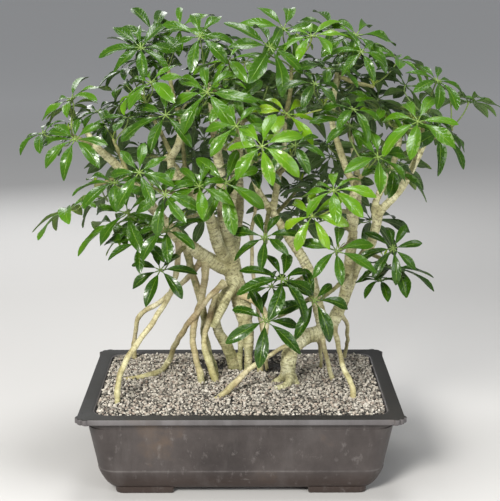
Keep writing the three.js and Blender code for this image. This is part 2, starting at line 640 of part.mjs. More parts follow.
addPiece('pot', potSolid(), materials.pot);
addPiece('drain_mesh_left', drainMeshSolid(-1), materials.mesh);
addPiece('drain_mesh_right', drainMeshSolid(1), materials.mesh);
const wood = woodSolids();
addPiece('gravel', gravelSolid(wood.guard), materials.gravel);
for (const [name, solid] of Object.entries(wood.solids)) {
  addPiece(name, solid, name.startsWith('root') ? materials.root : materials.bark);
}
addSprays(wood.guard);

// The origin goes under the middle of the whole tree, at the level that the feet stand on.
const whole = new THREE.Box3().setFromObject(bonsai);
const middle = whole.getCenter(new THREE.Vector3());
bonsai.position.set(-middle.x, -middle.y, -whole.min.z);

export default bonsai;
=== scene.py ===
# Umbrella tree bonsai: two ringed trunks on aerial roots, a leafy crown, grit and a plastic training pot.
import math
import random

import bmesh
import bpy
import numpy as np
from mathutils import Matrix, Vector, noise


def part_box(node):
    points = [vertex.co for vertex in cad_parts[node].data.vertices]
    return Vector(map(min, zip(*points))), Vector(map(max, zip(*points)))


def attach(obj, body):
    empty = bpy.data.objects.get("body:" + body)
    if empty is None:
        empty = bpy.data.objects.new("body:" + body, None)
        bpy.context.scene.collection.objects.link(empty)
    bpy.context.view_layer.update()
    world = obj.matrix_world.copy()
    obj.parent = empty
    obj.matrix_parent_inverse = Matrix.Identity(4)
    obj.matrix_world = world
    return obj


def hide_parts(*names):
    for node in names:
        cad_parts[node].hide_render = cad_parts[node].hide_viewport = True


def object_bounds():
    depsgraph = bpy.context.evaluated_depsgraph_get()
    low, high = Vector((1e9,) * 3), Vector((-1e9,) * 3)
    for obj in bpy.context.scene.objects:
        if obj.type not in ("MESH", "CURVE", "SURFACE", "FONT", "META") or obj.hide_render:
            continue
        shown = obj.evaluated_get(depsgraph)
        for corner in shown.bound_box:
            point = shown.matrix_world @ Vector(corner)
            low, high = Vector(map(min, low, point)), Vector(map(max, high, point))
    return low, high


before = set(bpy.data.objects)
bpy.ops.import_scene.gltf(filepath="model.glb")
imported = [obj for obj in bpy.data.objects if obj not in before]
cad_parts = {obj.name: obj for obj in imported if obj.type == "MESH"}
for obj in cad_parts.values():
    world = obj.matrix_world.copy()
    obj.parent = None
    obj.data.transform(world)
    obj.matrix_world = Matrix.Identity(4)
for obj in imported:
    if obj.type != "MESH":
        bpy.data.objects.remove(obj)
cadLow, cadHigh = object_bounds()

potLow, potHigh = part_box("pot")
potMiddle = Vector(((potLow.x + potHigh.x) / 2, (potLow.y + potHigh.y) / 2, 0))
potSize = potHigh - potLow
mm = 0.001
fullTurn = 2 * math.pi
dice = random.Random(11)
print("frame loaded, pot", [round(v, 3) for v in potSize])


def fromPot(x, y, z):  # millimetres from the middle of the pot's foot line
    return Vector((potMiddle.x + x * mm, potMiddle.y + y * mm, z * mm))


viewpoint = {"place": (3.4, -1625, 633), "pitch": 12.1, "turn": 0.3, "lens": 92.1}


def makeCamera():
    data = bpy.data.cameras.new("viewCamera")
    data.lens = viewpoint["lens"]
    data.sensor_width = 36
    camera = bpy.data.objects.new("viewCamera", data)
    camera.location = fromPot(*viewpoint["place"])
    pitch = math.radians(90 - viewpoint["pitch"])
    camera.rotation_euler = (pitch, 0, -math.radians(viewpoint["turn"]))
    bpy.context.scene.collection.objects.link(camera)
    bpy.context.scene.camera = camera


lamps = {
    "keyLamp": {"place": (-0.75, -1.75, 1.25), "size": 0.6, "power": 52, "colour": (1, 0.98, 0.94)},
    "fillLamp": {"place": (1.3, -1.5, 0.75), "size": 1.0, "power": 15, "colour": (0.96, 0.98, 1)},
    "topLamp": {"place": (0.1, -0.1, 2.1), "size": 0.8, "power": 24, "colour": (1, 1, 1)},
    "backLamp": {"place": (-0.6, 1.7, 1.2), "size": 1.2, "power": 12, "colour": (1, 1, 1)},
}


def makeLamps():
    aim = fromPot(0, 0, 300)
    for name, lamp in lamps.items():
        data = bpy.data.lights.new(name, "AREA")
        data.shape = "DISK"
        data.size = lamp["size"]
        data.energy = lamp["power"]
        data.color = lamp["colour"]
        holder = bpy.data.objects.new(name, data)
        holder.location = Vector(lamp["place"])
        holder.rotation_euler = (aim - holder.location).to_track_quat("-Z", "Y").to_euler()
        bpy.context.scene.collection.objects.link(holder)
    world = bpy.data.worlds.new("softRoom")
    world.use_nodes = True
    world.node_tree.nodes["Background"].inputs["Color"].default_value = (0.9, 0.92, 0.95, 1)
    world.node_tree.nodes["Background"].inputs["Strength"].default_value = 0.28
    bpy.context.scene.world = world
    bpy.context.scene.view_settings.view_transform = "Standard"


def makeFloor():
    far = 90  # metres, so that its edge is never seen
    mesh = bpy.data.meshes.new("paleFloor")
    corners = [(-far, -far, 0), (far, -far, 0), (far, far, 0), (-far, far, 0)]
    mesh.from_pydata(corners, [], [(0, 1, 2, 3)])
    floor = bpy.data.objects.new("paleFloor", mesh)
    bpy.context.scene.collection.objects.link(floor)
    material, shader, tree = newMaterial("floorPaint")
    place = add(tree, "ShaderNodeTexCoord").outputs["Object"]
    away = add(tree, "ShaderNodeVectorMath", {0: place}, operation="LENGTH").outputs["Value"]
    # painted light: the floor is darker near the pot and brighter far off, evening out the lamps' falloff
    base = blendColour(tree, spread(tree, away, 1.0, 5.0), (0.60, 0.59, 0.575), (0.97, 0.97, 0.97))
    feed(tree, shader.inputs["Base Color"], base)
    shader.inputs["Roughness"].default_value = 0.9
    mesh.materials.append(material)


def newMaterial(name):
    material = bpy.data.materials.new(name)
    material.use_nodes = True
    tree = material.node_tree
    return material, tree.nodes["Principled BSDF"], tree


def add(tree, kind, sockets=None, **settings):
    made = tree.nodes.new(kind)
    for key, value in settings.items():
        setattr(made, key, value)
    for key, value in (sockets or {}).items():
        if isinstance(value, bpy.types.NodeSocket):
            tree.links.new(value, made.inputs[key])
        else:
            made.inputs[key].default_value = value
    return made


def maths(tree, operation, first, second=0.0, clamp=False):
    return add(tree, "ShaderNodeMath", {0: first, 1: second}, operation=operation, use_clamp=clamp).outputs[0]


def spread(tree, value, low, high, toLow=0.0, toHigh=1.0):
    sockets = {"Value": value, "From Min": low, "From Max": high, "To Min": toLow, "To Max": toHigh}
    return add(tree, "ShaderNodeMapRange", sockets, clamp=True).outputs[0]


def ramp(tree, value, stops):
    made = add(tree, "ShaderNodeValToRGB", {"Fac": value})
    band = made.color_ramp
    while len(band.elements) < len(stops):
        band.elements.new(0.5)
    for element, (place, colour) in zip(band.elements, stops):
        element.position = place
        element.color = (*colour, 1)
    return made.outputs["Color"]


def blendColour(tree, factor, first, second, mode="MIX"):
    made = add(tree, "ShaderNodeMix", {0: factor}, data_type="RGBA", blend_type=mode)
    for socket, value in ((made.inputs[6], first), (made.inputs[7], second)):
        if isinstance(value, bpy.types.NodeSocket):
            tree.links.new(value, socket)
        else:
            socket.default_value = (*value, 1)
    return made.outputs[2]


def tint(tree, base, mask, share, colour):  # turns the base towards a colour, by a share of the mask
    return blendColour(tree, maths(tree, "MULTIPLY", mask, share), base, colour)


def grain(tree, scale, detail=4.0, rough=0.55, place=None, squash=None):
    place = place or add(tree, "ShaderNodeTexCoord").outputs["Object"]
    if squash:
        place = add(tree, "ShaderNodeMapping", {"Vector": place, "Scale": squash}).outputs[0]
    sockets = {"Vector": place, "Scale": scale, "Detail": detail, "Roughness": rough}
    return add(tree, "ShaderNodeTexNoise", sockets).outputs["Fac"]


def blotchedMaterial(name, scale, detail, rough, stops, roughness):
    material, shader, tree = newMaterial(name)
    blotches = grain(tree, scale, detail, rough)
    feed(tree, shader.inputs["Base Color"], ramp(tree, blotches, stops))
    shader.inputs["Roughness"].default_value = roughness
    return material, shader, tree, blotches


def bump(tree, shader, height, distance, strength=1.0, under=None):
    sockets = {"Height": height, "Distance": distance, "Strength": strength}
    if under:
        sockets["Normal"] = under
    made = add(tree, "ShaderNodeBump", sockets)
    tree.links.new(made.outputs[0], shader.inputs["Normal"])
    return made.outputs[0]


def attributeParts(tree, name):
    read = add(tree, "ShaderNodeAttribute", attribute_name=name)
    return add(tree, "ShaderNodeSeparateXYZ", {0: read.outputs["Vector"]}).outputs


def feed(tree, socket, value):
    tree.links.new(value, socket)


def newPiece(name, vertices, faces, materials=(), slots=None, smooth=True):
    mesh = bpy.data.meshes.new(name)
    mesh.from_pydata([tuple(v) for v in vertices], [], [tuple(f) for f in faces])
    for material in materials:
        mesh.materials.append(material)
    if slots is not None:
        mesh.polygons.foreach_set("material_index", np.asarray(slots, dtype=np.int32))
    if smooth:
        mesh.polygons.foreach_set("use_smooth", np.ones(len(mesh.polygons), dtype=bool))
    mesh.update()
    piece = bpy.data.objects.new(name, mesh)
    bpy.context.scene.collection.objects.link(piece)
    return piece


def storeVector(mesh, name, values):
    attribute = mesh.attributes.new(name, "FLOAT_VECTOR", "POINT")
    attribute.data.foreach_set("vector", np.asarray(values, dtype=np.float32).ravel())


def shapedMesh(piece):  # the piece's mesh with its modifiers made real
    bpy.context.view_layer.update()
    shaped = piece.evaluated_get(bpy.context.evaluated_depsgraph_get())
    return bpy.data.meshes.new_from_object(shaped)


def smoothPath(stations, step):  # a curve through stations of x, y, z and radius, sampled evenly
    points = np.array(stations, dtype=float)
    ends = np.vstack([2 * points[0] - points[1], points, 2 * points[-1] - points[-2]])
    samples = []
    for i in range(1, len(ends) - 2):
        a, b, c, d = ends[i - 1], ends[i], ends[i + 1], ends[i + 2]
        count = max(2, int(np.linalg.norm((c - b)[:3]) / step))
        for t in np.arange(count) / count:
            curve = 2 * b + (c - a) * t + (2 * a - 5 * b + 4 * c - d) * t**2 + (3 * b - a - 3 * c + d) * t**3
            curve = curve / 2
            curve[3] = b[3] + (c[3] - b[3]) * t
            samples.append(curve)
    samples.append(points[-1])
    return np.array(samples)


def pathFrames(path):  # two directions across the path at each sample, carried along without twist
    tangents = np.gradient(path[:, :3], axis=0)
    tangents /= np.linalg.norm(tangents, axis=1)[:, None] + 1e-12
    across = np.cross(tangents[0], (0.31, 0.94, 0.12))
    across /= np.linalg.norm(across)
    firsts = []
    for tangent in tangents:
        across = across - tangent * across.dot(tangent)
        across /= np.linalg.norm(across)
        firsts.append(across)
    firsts = np.array(firsts)
    return tangents, firsts, np.cross(tangents, firsts)


def pathLengths(path):  # distance along the path at each sample
    return np.concatenate([[0], np.cumsum(np.linalg.norm(np.diff(path[:, :3], axis=0), axis=1))])


def pieceName(node):
    return "".join([part.capitalize() if i else part for i, part in enumerate(node.split("_"))])


def tube(path, sides):  # closed tube of a path whose samples hold x, y, z and radius
    _, firsts, seconds = pathFrames(path)
    turns = np.arange(sides) * fullTurn / sides
    ring = firsts[:, None, :] * np.cos(turns)[None, :, None]
    ring = ring + seconds[:, None, :] * np.sin(turns)[None, :, None]
    vertices = (path[:, None, :3] + ring * path[:, None, 3:4]).reshape(-1, 3)
    faces = []
    for row in range(len(path) - 1):
        for side in range(sides):
            after = (side + 1) % sides
            base = row * sides
            faces.append((base + side, base + after, base + sides + after, base + sides + side))
    last = (len(path) - 1) * sides
    faces.append(tuple(reversed(range(sides))))
    faces.append(tuple(range(last, last + sides)))
    return vertices, faces


def nodePlaces(name):  # merged vertices and triangles of a CAD node
    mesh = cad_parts[name].data
    places = np.empty(len(mesh.vertices) * 3)
    mesh.vertices.foreach_get("co", places)
    rounded = np.round(places.reshape(-1, 3) * 1e5).astype(np.int64)
    merged, index = np.unique(rounded, axis=0, return_inverse=True)
    mesh.calc_loop_triangles()
    corners = np.empty(len(mesh.loop_triangles) * 3, dtype=np.int32)
    mesh.loop_triangles.foreach_get("vertices", corners)
    return merged / 1e5, index.ravel()[corners].reshape(-1, 3)


potShape = {
    "cornerSteps": 24,
    "sideSteps": 12,
    "steeper": 0.84,  # how far the long walls lean in, next to the short ones
    "lobe": 2.6,  # how deep the notches between the flange's corner lobes go
    "flange": 21.5,
    "footInner": (84, 60),
    "footOuter": (157, 121),
    "drainSpread": 85,
    "drainRadius": 12,
}
wallProfile = [  # height, inset from the rim, corner radius
    (8, 40, 18), (9, 37, 19), (12, 34, 21), (17, 30.5, 23), (24, 26.8, 25), (30, 24.4, 26), (33, 23.6, 26),
    (34, 23.9, 26), (46, 22, 26), (60, 19.5, 26), (74, 17, 26), (86, 14.8, 26), (90.6, 14.1, 26),
    (91.2, 14.9, 26), (94, 14.7, 26), (97.6, 14.4, 26), (98.6, 13.6, 25), (99, 12, 24),
]
lipProfile = [
    (99, 3, 17), (99.3, 1.2, 17), (100, 0.3, 17), (101, 0, 17), (103.5, 0.1, 17), (105.6, 0, 17),
    (106.4, 0.3, 17), (106.9, 1.1, 17), (107, 2.2, 17), (107, 9, 18), (106.9, 17, 19), (106.6, 20, 20),
    (105.8, 21.3, 20), (104, 21.7, 20), (92, 22, 20),
]
innerProfile = [(46, 29.5, 24), (24, 33.8, 22), (14, 38, 20), (11.6, 43, 18)]


def potOutline(insetX, insetY, radius, lobe):
    halfX = potSize.x / 2 / mm - insetX
    halfY = potSize.y / 2 / mm - insetY
    steps, between = potShape["cornerSteps"], potShape["sideSteps"]
    corners = []
    for signX, signY, start in ((1, 1, 0), (-1, 1, 90), (-1, -1, 180), (1, -1, 270)):
        arc = []
        for i in range(steps + 1):
            t = i / steps
            angle = math.radians(start + 90 * t)
            swell = radius - lobe * (1 - abs(math.sin(3 * math.pi * t)) ** 0.55)
            x = signX * (halfX - radius) + swell * math.cos(angle)
            y = signY * (halfY - radius) + swell * math.sin(angle)
            arc.append((x, y))
        corners.append(arc)
    points = []
    for arc, following in zip(corners, corners[1:] + corners[:1]):
        points += arc
        (ax, ay), (bx, by) = arc[-1], following[0]
        points += [(ax + (bx - ax) * j / between, ay + (by - ay) * j / between) for j in range(1, between)]
    return points


def loftFaces(count, levels, base=0):
    faces = []
    for level in range(levels - 1):
        for i in range(count):
            after = (i + 1) % count
            low = base + level * count
            faces.append((low + i, low + after, low + count + after, low + count + i))
    faces.append(tuple(base + i for i in reversed(range(count))))
    top = base + (levels - 1) * count
    faces.append(tuple(top + i for i in range(count)))
    return faces


def potFoot(signX, signY):
    innerX, innerY = potShape["footInner"]
    outerX, outerY = potShape["footOuter"]
    halfX, halfY = (outerX - innerX) / 2, (outerY - innerY) / 2
    midX, midY = signX * (innerX + outerX) / 2, signY * (innerY + outerY) / 2
    vertices = []
    levels = [(0, 1.6), (0.5, 0.7), (1.5, 0.2), (8.6, -0.4)]
    for z, inset in levels:
        for cx, cy, start in ((1, 1, 0), (-1, 1, 90), (-1, -1, 180), (1, -1, 270)):
            radius = 9 if cx == signX and cy == signY else 2.5
            for i in range(9):
                angle = math.radians(start + 90 * i / 8)
                x = cx * (halfX - inset - radius) + radius * math.cos(angle)
                y = cy * (halfY - inset - radius) + radius * math.sin(angle)
                vertices.append(fromPot(midX + x, midY + y, z))
    return vertices, loftFaces(36, len(levels))


def plinthBand():  # the low band that the feet grow from
    outerX, outerY = potShape["footOuter"]
    vertices = []
    marginX, marginY = potSize.x / 2 / mm - outerX, potSize.y / 2 / mm - outerY
    levels = [(8.1, 0.6), (8.8, 0), (13, -1.2), (15.5, -3)]
    for z, inset in levels:
        for x, y in potOutline(marginX + inset, marginY + inset, 9, 0):
            vertices.append(fromPot(x, y, z))
    count = 4 * (potShape["cornerSteps"] + potShape["sideSteps"])
    return vertices, loftFaces(count, len(levels))


def makePot():
    steeper = potShape["steeper"]
    outlines = []
    for z, inset, radius in wallProfile:
        outlines.append((z, potOutline(inset, inset * steeper, radius, 0)))
    for z, inset, radius in lipProfile:
        outlines.append((z, potOutline(inset, inset, radius, potShape["lobe"] if inset < 3.5 else 0)))
    for z, inset, radius in innerProfile:
        outlines.append((z, potOutline(inset, inset * steeper + 3.5, radius, 0)))
    vertices = []
    for z, outline in outlines:
        for x, y in outline:
            sway = noise.noise(Vector((x / 90, y / 90, z / 60))) * (0.35 if z < 98 else 0.15)
            pull = 1 + sway / 170
            vertices.append(fromPot(x * pull, y * pull, z))
    faces = loftFaces(len(outlines[0][1]), len(outlines))
    shell = newPiece("potShell", vertices, faces)
    for side in (-1, 1):
        cutDrainHole(shell, side)
    shell.data = shapedMesh(shell)
    shell.modifiers.clear()
    solids = [plinthBand()] + [potFoot(x, y) for x in (-1, 1) for y in (-1, 1)]
    allVertices = [v.co.copy() for v in shell.data.vertices]
    allFaces = [tuple(p.vertices) for p in shell.data.polygons]
    for solidVertices, solidFaces in solids:
        start = len(allVertices)
        allVertices += solidVertices
        allFaces += [tuple(start + i for i in face) for face in solidFaces]
    bpy.data.objects.remove(shell)
    pot = newPiece("trainingPot", allVertices, allFaces, [potPlastic()])
    pot.data.set_sharp_from_angle(angle=math.radians(38))
    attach(pot, "root")
    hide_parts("pot")


def cutDrainHole(shell, side):
    centre = fromPot(side * potShape["drainSpread"], 0, 10)
    circle = [i * fullTurn / 32 for i in range(32)]
    radius = potShape["drainRadius"] * mm
    vertices = []
    for z in (-0.01, 0.01):
        vertices += [centre + Vector((radius * math.cos(a), radius * math.sin(a), z)) for a in circle]
    cutter = newPiece("drainCutter", vertices, loftFaces(32, 2))
    cut = shell.modifiers.new("drainHole", "BOOLEAN")
    cut.operation = "DIFFERENCE"
    cut.solver = "EXACT"
    cut.object = cutter
    shell.data = shapedMesh(shell)
    shell.modifiers.clear()
    bpy.data.objects.remove(cutter)


def potPlastic():
    material, shader, tree = newMaterial("dustyPotPlastic")
    place = add(tree, "ShaderNodeTexCoord").outputs["Object"]
    height = add(tree, "ShaderNodeSeparateXYZ", {0: place}).outputs["Z"]
    clouds = grain(tree, 11, 6, 0.65, place)
    streaks = grain(tree, 30, 6, 0.62, place, (1, 1, 0.2))
    scuffs = grain(tree, 85, 8, 0.72, place, (1, 1, 0.55))
    scratches = grain(tree, 170, 6, 0.8, place, (0.16, 0.16, 1))
    stops = [
        (0.3, (0.026, 0.021, 0.020)), (0.45, (0.045, 0.037, 0.035)), (0.58, (0.062, 0.052, 0.049)),
        (0.72, (0.098, 0.070, 0.052)),
    ]
    base = ramp(tree, clouds, stops)
    lowBrown = spread(tree, height, 0.034, 0.016)
    base = tint(tree, base, lowBrown, 0.65, (0.040, 0.024, 0.018))
    streakMask = maths(tree, "MULTIPLY", spread(tree, streaks, 0.5, 0.72), 0.5)
    base = blendColour(tree, streakMask, base, (0.105, 0.094, 0.090))
    scuffMask = maths(tree, "MULTIPLY", spread(tree, scuffs, 0.58, 0.70), 0.6)
    base = blendColour(tree, scuffMask, base, (0.17, 0.155, 0.148))
    lineMask = maths(tree, "MULTIPLY", spread(tree, scratches, 0.63, 0.70), 0.55)
    base = blendColour(tree, lineMask, base, (0.19, 0.175, 0.165))
    # a lighter line is painted along the crease of the wall's step, in streaks
    aboveCrease = spread(tree, height, 0.0350, 0.0338)
    crease = maths(tree, "MULTIPLY", spread(tree, height, 0.0322, 0.0332), aboveCrease)
    creaseLightLine = maths(tree, "MULTIPLY", crease, spread(tree, streaks, 0.38, 0.6, 0.06, 0.38))
    base = blendColour(tree, creaseLightLine, base, (0.20, 0.185, 0.18))
    # painted sheen: the lip's outer face is painted a lighter grey in streaks
    lip = maths(tree, "MULTIPLY", spread(tree, height, 0.098, 0.1), spread(tree, height, 0.1068, 0.1060))
    lipPaintedSheen = maths(tree, "MULTIPLY", lip, spread(tree, streaks, 0.3, 0.7, 0.3, 0.75))
    base = blendColour(tree, lipPaintedSheen, base, (0.165, 0.158, 0.162))
    top = spread(tree, height, 0.1062, 0.1067)
    topColour = ramp(tree, clouds, [(0.35, (0.010, 0.010, 0.0085)), (0.65, (0.024, 0.023, 0.020))])
    base = tint(tree, base, top, 0.92, topColour)
    feed(tree, shader.inputs["Base Color"], base)
    scuffed = maths(tree, "MULTIPLY", scuffMask, 0.25)
    worn = maths(tree, "ADD", spread(tree, clouds, 0.3, 0.7, 0.40, 0.58), scuffed)
    feed(tree, shader.inputs["Roughness"], maths(tree, "ADD", worn, maths(tree, "MULTIPLY", top, 0.2)))
    shader.inputs["Specular IOR Level"].default_value = 0.38
    fine = grain(tree, 900, 3, 0.5, place)
    soft = bump(tree, shader, fine, 0.00012, 0.6)
    bump(tree, shader, scuffs, 0.0005, 0.5, soft)
    return material


grit = {"spacing": 3.8, "small": 1.45, "large": 2.5, "edgeTop": 104, "crown": 5.5, "inside": (179.5, 129)}
hollows = [((42, 70), 36, 9), ((2, 78), 34, 9), ((-42, 66), 26, 6)]  # middle, radius, depth


def hollowAt(x, y):  # how deep the grit has been pushed away, and how much painted shade, with dark soil, it gets there
    depth, dark = 0.0, 0.0
    for (hx, hy), radius, drop in hollows:
        away = math.hypot(x - hx, (y - hy) * 0.8) / radius
        inside = max(0.0, 1 - away * away + 0.25 * noise.noise(Vector((x / 9, y / 9, 3))))
        depth = max(depth, drop * inside)
        dark = max(dark, min(1.0, 1.3 * inside))
    return depth, dark


def gritHeight(x, y):
    halfX, halfY = grit["inside"]
    reach = max(abs(x) / (halfX + 2), abs(y) / (halfY + 2))
    rise = float(np.interp(1 - reach, [0, 0.07, 0.25, 0.55], [0, 0.4, 0.75, 1]))
    uneven = 0.9 * noise.noise(Vector((x / 28, y / 28, 0))) + 0.5 * noise.noise(Vector((x / 9, y / 9, 0)))
    return grit["edgeTop"] + grit["crown"] * rise + uneven * min(1, 12 * (1 - reach)) - hollowAt(x, y)[0]


def gritPlaces():
    halfX, halfY = grit["inside"]
    step = grit["spacing"]
    for row in range(int(2 * halfY / step) + 1):
        for column in range(int(2 * halfX / step) + 1):
            x = -halfX + (column + 0.5 * (row % 2)) * step + dice.uniform(-0.35, 0.35) * step
            y = -halfY + row * step + dice.uniform(-0.35, 0.35) * step
            cornerX, cornerY = max(0, abs(x) - halfX + 18), max(0, abs(y) - halfY + 18)
            if math.hypot(cornerX, cornerY) < 18:
                yield x, y, 0.0
                if dice.random() < 0.22:
                    yield x + dice.uniform(-1, 1), y + dice.uniform(-1, 1), 2.0


def makeGrit():
    shape = bmesh.new()
    bmesh.ops.create_icosphere(shape, subdivisions=1, radius=1)
    corners = np.array([v.co for v in shape.verts])
    chipFaces = [tuple(v.index for v in f.verts) for f in shape.faces]
    shape.free()
    spin = np.random.default_rng(5)
    vertices, faces, tones = [], [], []
    for x, y, extra in gritPlaces():
        dark = hollowAt(x, y)[1]
        if dark > 0.5 and dice.random() < 0.5:
            continue
        size = dice.uniform(grit["small"], grit["large"]) * (0.75 if dice.random() < 0.25 else 1)
        scale = size * np.array([dice.uniform(0.85, 1.35), dice.uniform(0.75, 1.05), dice.uniform(0.6, 0.95)])
        spun = Matrix.Rotation(dice.uniform(0, 6.28), 3, "Z")
        turn = spun @ Matrix.Rotation(dice.uniform(-0.9, 0.9), 3, "X")
        chip = corners * (1 + spin.uniform(-0.32, 0.2, (len(corners), 1))) * scale
        chip = chip @ np.array(turn.transposed())
        z = gritHeight(x, y) + dice.uniform(-0.7, 1.0) + extra
        start = len(vertices)
        middle = fromPot(x, y, z)
        vertices += [middle + Vector(p) * mm for p in chip]
        faces += [tuple(start + i for i in face) for face in chipFaces]
        tones += [(dice.random(), dice.random(), dark)] * len(corners)
    chips = newPiece("gritChips", vertices, faces, [gritStone()], smooth=False)
    storeVector(chips.data, "grit", tones)
    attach(chips, "root")
    print("grit chips", len(vertices) // len(corners))


bedProfile = [(12.2, 43.5, 18), (24, 30.8, 22), (46, 26, 22), (91.5, 22, 20), (103.4, 22, 20)]
bedRings = 34


def makeGritBed():  # the body of the grit: the pot's inside, topped by the uneven surface
    steeper = potShape["steeper"]
    rows = []
    for z, inset, radius in bedProfile:
        lean = steeper if z < 90 else 1
        rows.append([(x, y, z) for x, y in potOutline(inset, inset * lean, radius, 0)])
    rim = potOutline(22, 22, 20, 0)
    for ring in range(1, bedRings):
        scale = 1 - ring / bedRings
        rows.append([(x * scale, y * scale, gritHeight(x * scale, y * scale) - 0.6) for x, y in rim])
    vertices = [fromPot(*point) for row in rows for point in row]
    bed = newPiece("gritBed", vertices, loftFaces(len(rim), len(rows)), [gritBed()])
    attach(bed, "root")
    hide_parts("gravel")


def gritStone():
    material, shader, tree = newMaterial("crushedGrit")
    tone, warm, dark = attributeParts(tree, "grit")
    stops = [
        (0.0, (0.085, 0.078, 0.066)), (0.2, (0.25, 0.23, 0.195)), (0.5, (0.50, 0.46, 0.39)),
        (0.8, (0.68, 0.63, 0.54)), (1.0, (0.84, 0.79, 0.70)),
    ]
    base = ramp(tree, tone, stops)
    pink = maths(tree, "MULTIPLY", spread(tree, warm, 0.68, 0.95), 0.45)
    base = blendColour(tree, pink, base, (0.50, 0.36, 0.28))
    speckle = grain(tree, 900, 5, 0.7)
    shade = ramp(tree, speckle, [(0.3, (0.45, 0.45, 0.45)), (0.6, (1, 1, 1))])
    base = blendColour(tree, 0.6, base, shade, "MULTIPLY")
    # painted shade: chips in the hollows are turned near black, where dark soil also shows
    base = tint(tree, base, dark, 0.93, (0.012, 0.009, 0.007))
    feed(tree, shader.inputs["Base Color"], base)
    shader.inputs["Roughness"].default_value = 0.88
    bump(tree, shader, speckle, 0.0005, 0.7)
    return material


def gritBed():
    # the bed is coloured near black: dark soil, and painted shade for the gaps between chips and the hollows
    stops = [(0.35, (0.010, 0.009, 0.008)), (0.55, (0.045, 0.042, 0.038)), (0.75, (0.12, 0.11, 0.10))]
    material, shader, tree, rough = blotchedMaterial("gritBed", 420, 6, 0.7, stops, 0.95)
    bump(tree, shader, rough, 0.002)
    return material


def finishDrainMeshes():
    stops = [(0.3, (0.008, 0.009, 0.008)), (0.8, (0.03, 0.03, 0.028))]
    material = blotchedMaterial("drainMeshPlastic", 300, 4, 0.55, stops, 0.6)[0]
    for side in ("left", "right"):
        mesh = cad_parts["drain_mesh_" + side].data
        mesh.materials.clear()
        mesh.materials.append(material)


# limbs and roots as stations of x, y, z and radius, millimetres from the middle of the pot
leftLimbs = {
    "stem": [
        [8, 44, 84, 5], [10, 44, 130, 5.5], [9, 42, 160, 8], [4, 38, 190, 11], [-4, 34, 221, 12.5],
        [-12, 30, 257, 12.5], [-20, 28, 293, 10], [-23, 24, 331, 8.5], [-26, 20, 374, 7],
        [-31, 18, 416, 6], [-36, 20, 462, 5],
        [-39, 22, 503, 3.5],
    ],
    "mossyLeg": [
        [-10, 54, 84, 9], [-11, 52, 115, 8.5], [-20, 46, 145, 7.5], [-30, 36, 165, 6.5], [-33, 28, 190, 6],
        [-22, 24, 218, 7], [-10, 26, 240, 8],
    ],
    "thinLeg": [[0, 53, 84, 3], [-1, 52, 120, 3], [0, 48, 150, 4.5], [3, 40, 185, 6]],
    "arm": [
        [-12, 30, 252, 11], [-44, 22, 270, 10], [-78, 10, 297, 9], [-107, 4, 332, 7.5], [-132, 0, 365, 6.5],
        [-159, -4, 398, 5.5], [-182, -6, 420, 4.8], [-198, -8, 446, 3.5],
    ],
    "ringedBranch": [
        [-14, 28, 262, 9], [-27, 10, 283, 8], [-35, 0, 312, 7.5], [-42, -8, 337, 6.8], [-57, -12, 358, 6.3],
        [-82, -16, 382, 5.5], [-88, -16, 405, 5], [-79, -14, 424, 4.8], [-74, -10, 448, 4.2],
        [-66, -2, 492, 3],
    ],
    "innerStem": [
        [-20, 28, 300, 7.5], [-14, 34, 334, 6.5], [-9, 38, 368, 5.8], [-6, 44, 410, 5],
        [-1, 50, 451, 3.5],
    ],
    "stub": [[-6, 26, 238, 7.5], [-17, 12, 221, 6], [-27, 4, 201, 5.6], [-37, 0, 181, 5.2]],
    "backLimb": [[-18, 30, 280, 8], [-46, 62, 325, 6.5], [-78, 90, 365, 5.5], [-102, 106, 395, 4]],
    "backStem": [[-10, 40, 268, 7], [-2, 76, 325, 6], [-2, 98, 380, 5], [2, 106, 440, 3.5]],
}

rightLimbs = {
    "stem": [
        [64, -9, 114, 6], [62, -13, 128, 9.5], [66, -8, 153, 10.5], [82, 0, 167, 10.5], [103, 10, 171, 9.5],
        [121, 16, 184, 8.8], [133, 20, 207, 8], [143, 22, 232, 7.2], [154, 22, 262, 6.8], [170, 22, 286, 6.4],
        [177, 24, 310, 6.2], [183, 26, 331, 5.9], [200, 28, 350, 5.6], [213, 30, 367, 5.4], [222, 30, 385, 5],
        [231, 28, 405, 4.6], [242, 26, 430, 3.5],
    ],
    "frontToe": [
        [62, -14, 130, 7.5], [64, -25, 118, 5.6], [57, -32, 111, 5], [46, -35, 108, 4.6], [32, -34, 101, 3.4],
    ],
    "sideToe": [[60, -12, 126, 6.5], [54, -9, 115, 5], [43, -6, 106, 4.4], [34, -4, 98, 3.4]],
    "heel": [[64, -12, 124, 6.5], [72, -20, 111, 4.6], [80, -24, 99, 3.6]],
    "backToe": [[64, -8, 122, 7], [70, 6, 110, 5.4], [74, 14, 92, 4]],
    "outerArm": [
        [178, 24, 314, 5.4], [176, 30, 338, 4.8], [186, 40, 361, 4.5], [198, 50, 385, 4.2],
        [207, 56, 408, 3.9],
        [212, 60, 439, 3],
    ],
    "upright": [
        [138, 20, 219, 6.6], [141, 8, 260, 6.2], [145, -4, 305, 6], [140, -10, 345, 5.6],
        [146, -12, 369, 5.3],
        [136, -12, 389, 4.9], [126, -8, 417, 4.5], [116, -4, 452, 4], [118, 2, 482, 3.5], [122, 6, 514, 3],
    ],
    "inwardBranch": [
        [110, 12, 178, 8.4], [98, 14, 220, 7.8], [88, 18, 257, 7.4], [70, 24, 287, 6.8], [50, 32, 316, 5.8],
        [33, 38, 340, 5], [23, 42, 357, 4.5], [13, 44, 386, 3.8], [8, 44, 415, 3],
    ],
    "inwardFork": [
        [42, 36, 328, 5], [46, 30, 356, 4.4], [50, 22, 384, 4], [56, 18, 416, 3.6], [57, 20, 462, 3],
    ],
    "backLimb": [[136, 22, 212, 6.6], [148, 66, 280, 5.6], [160, 96, 345, 4.8], [150, 112, 420, 3.5]],
}

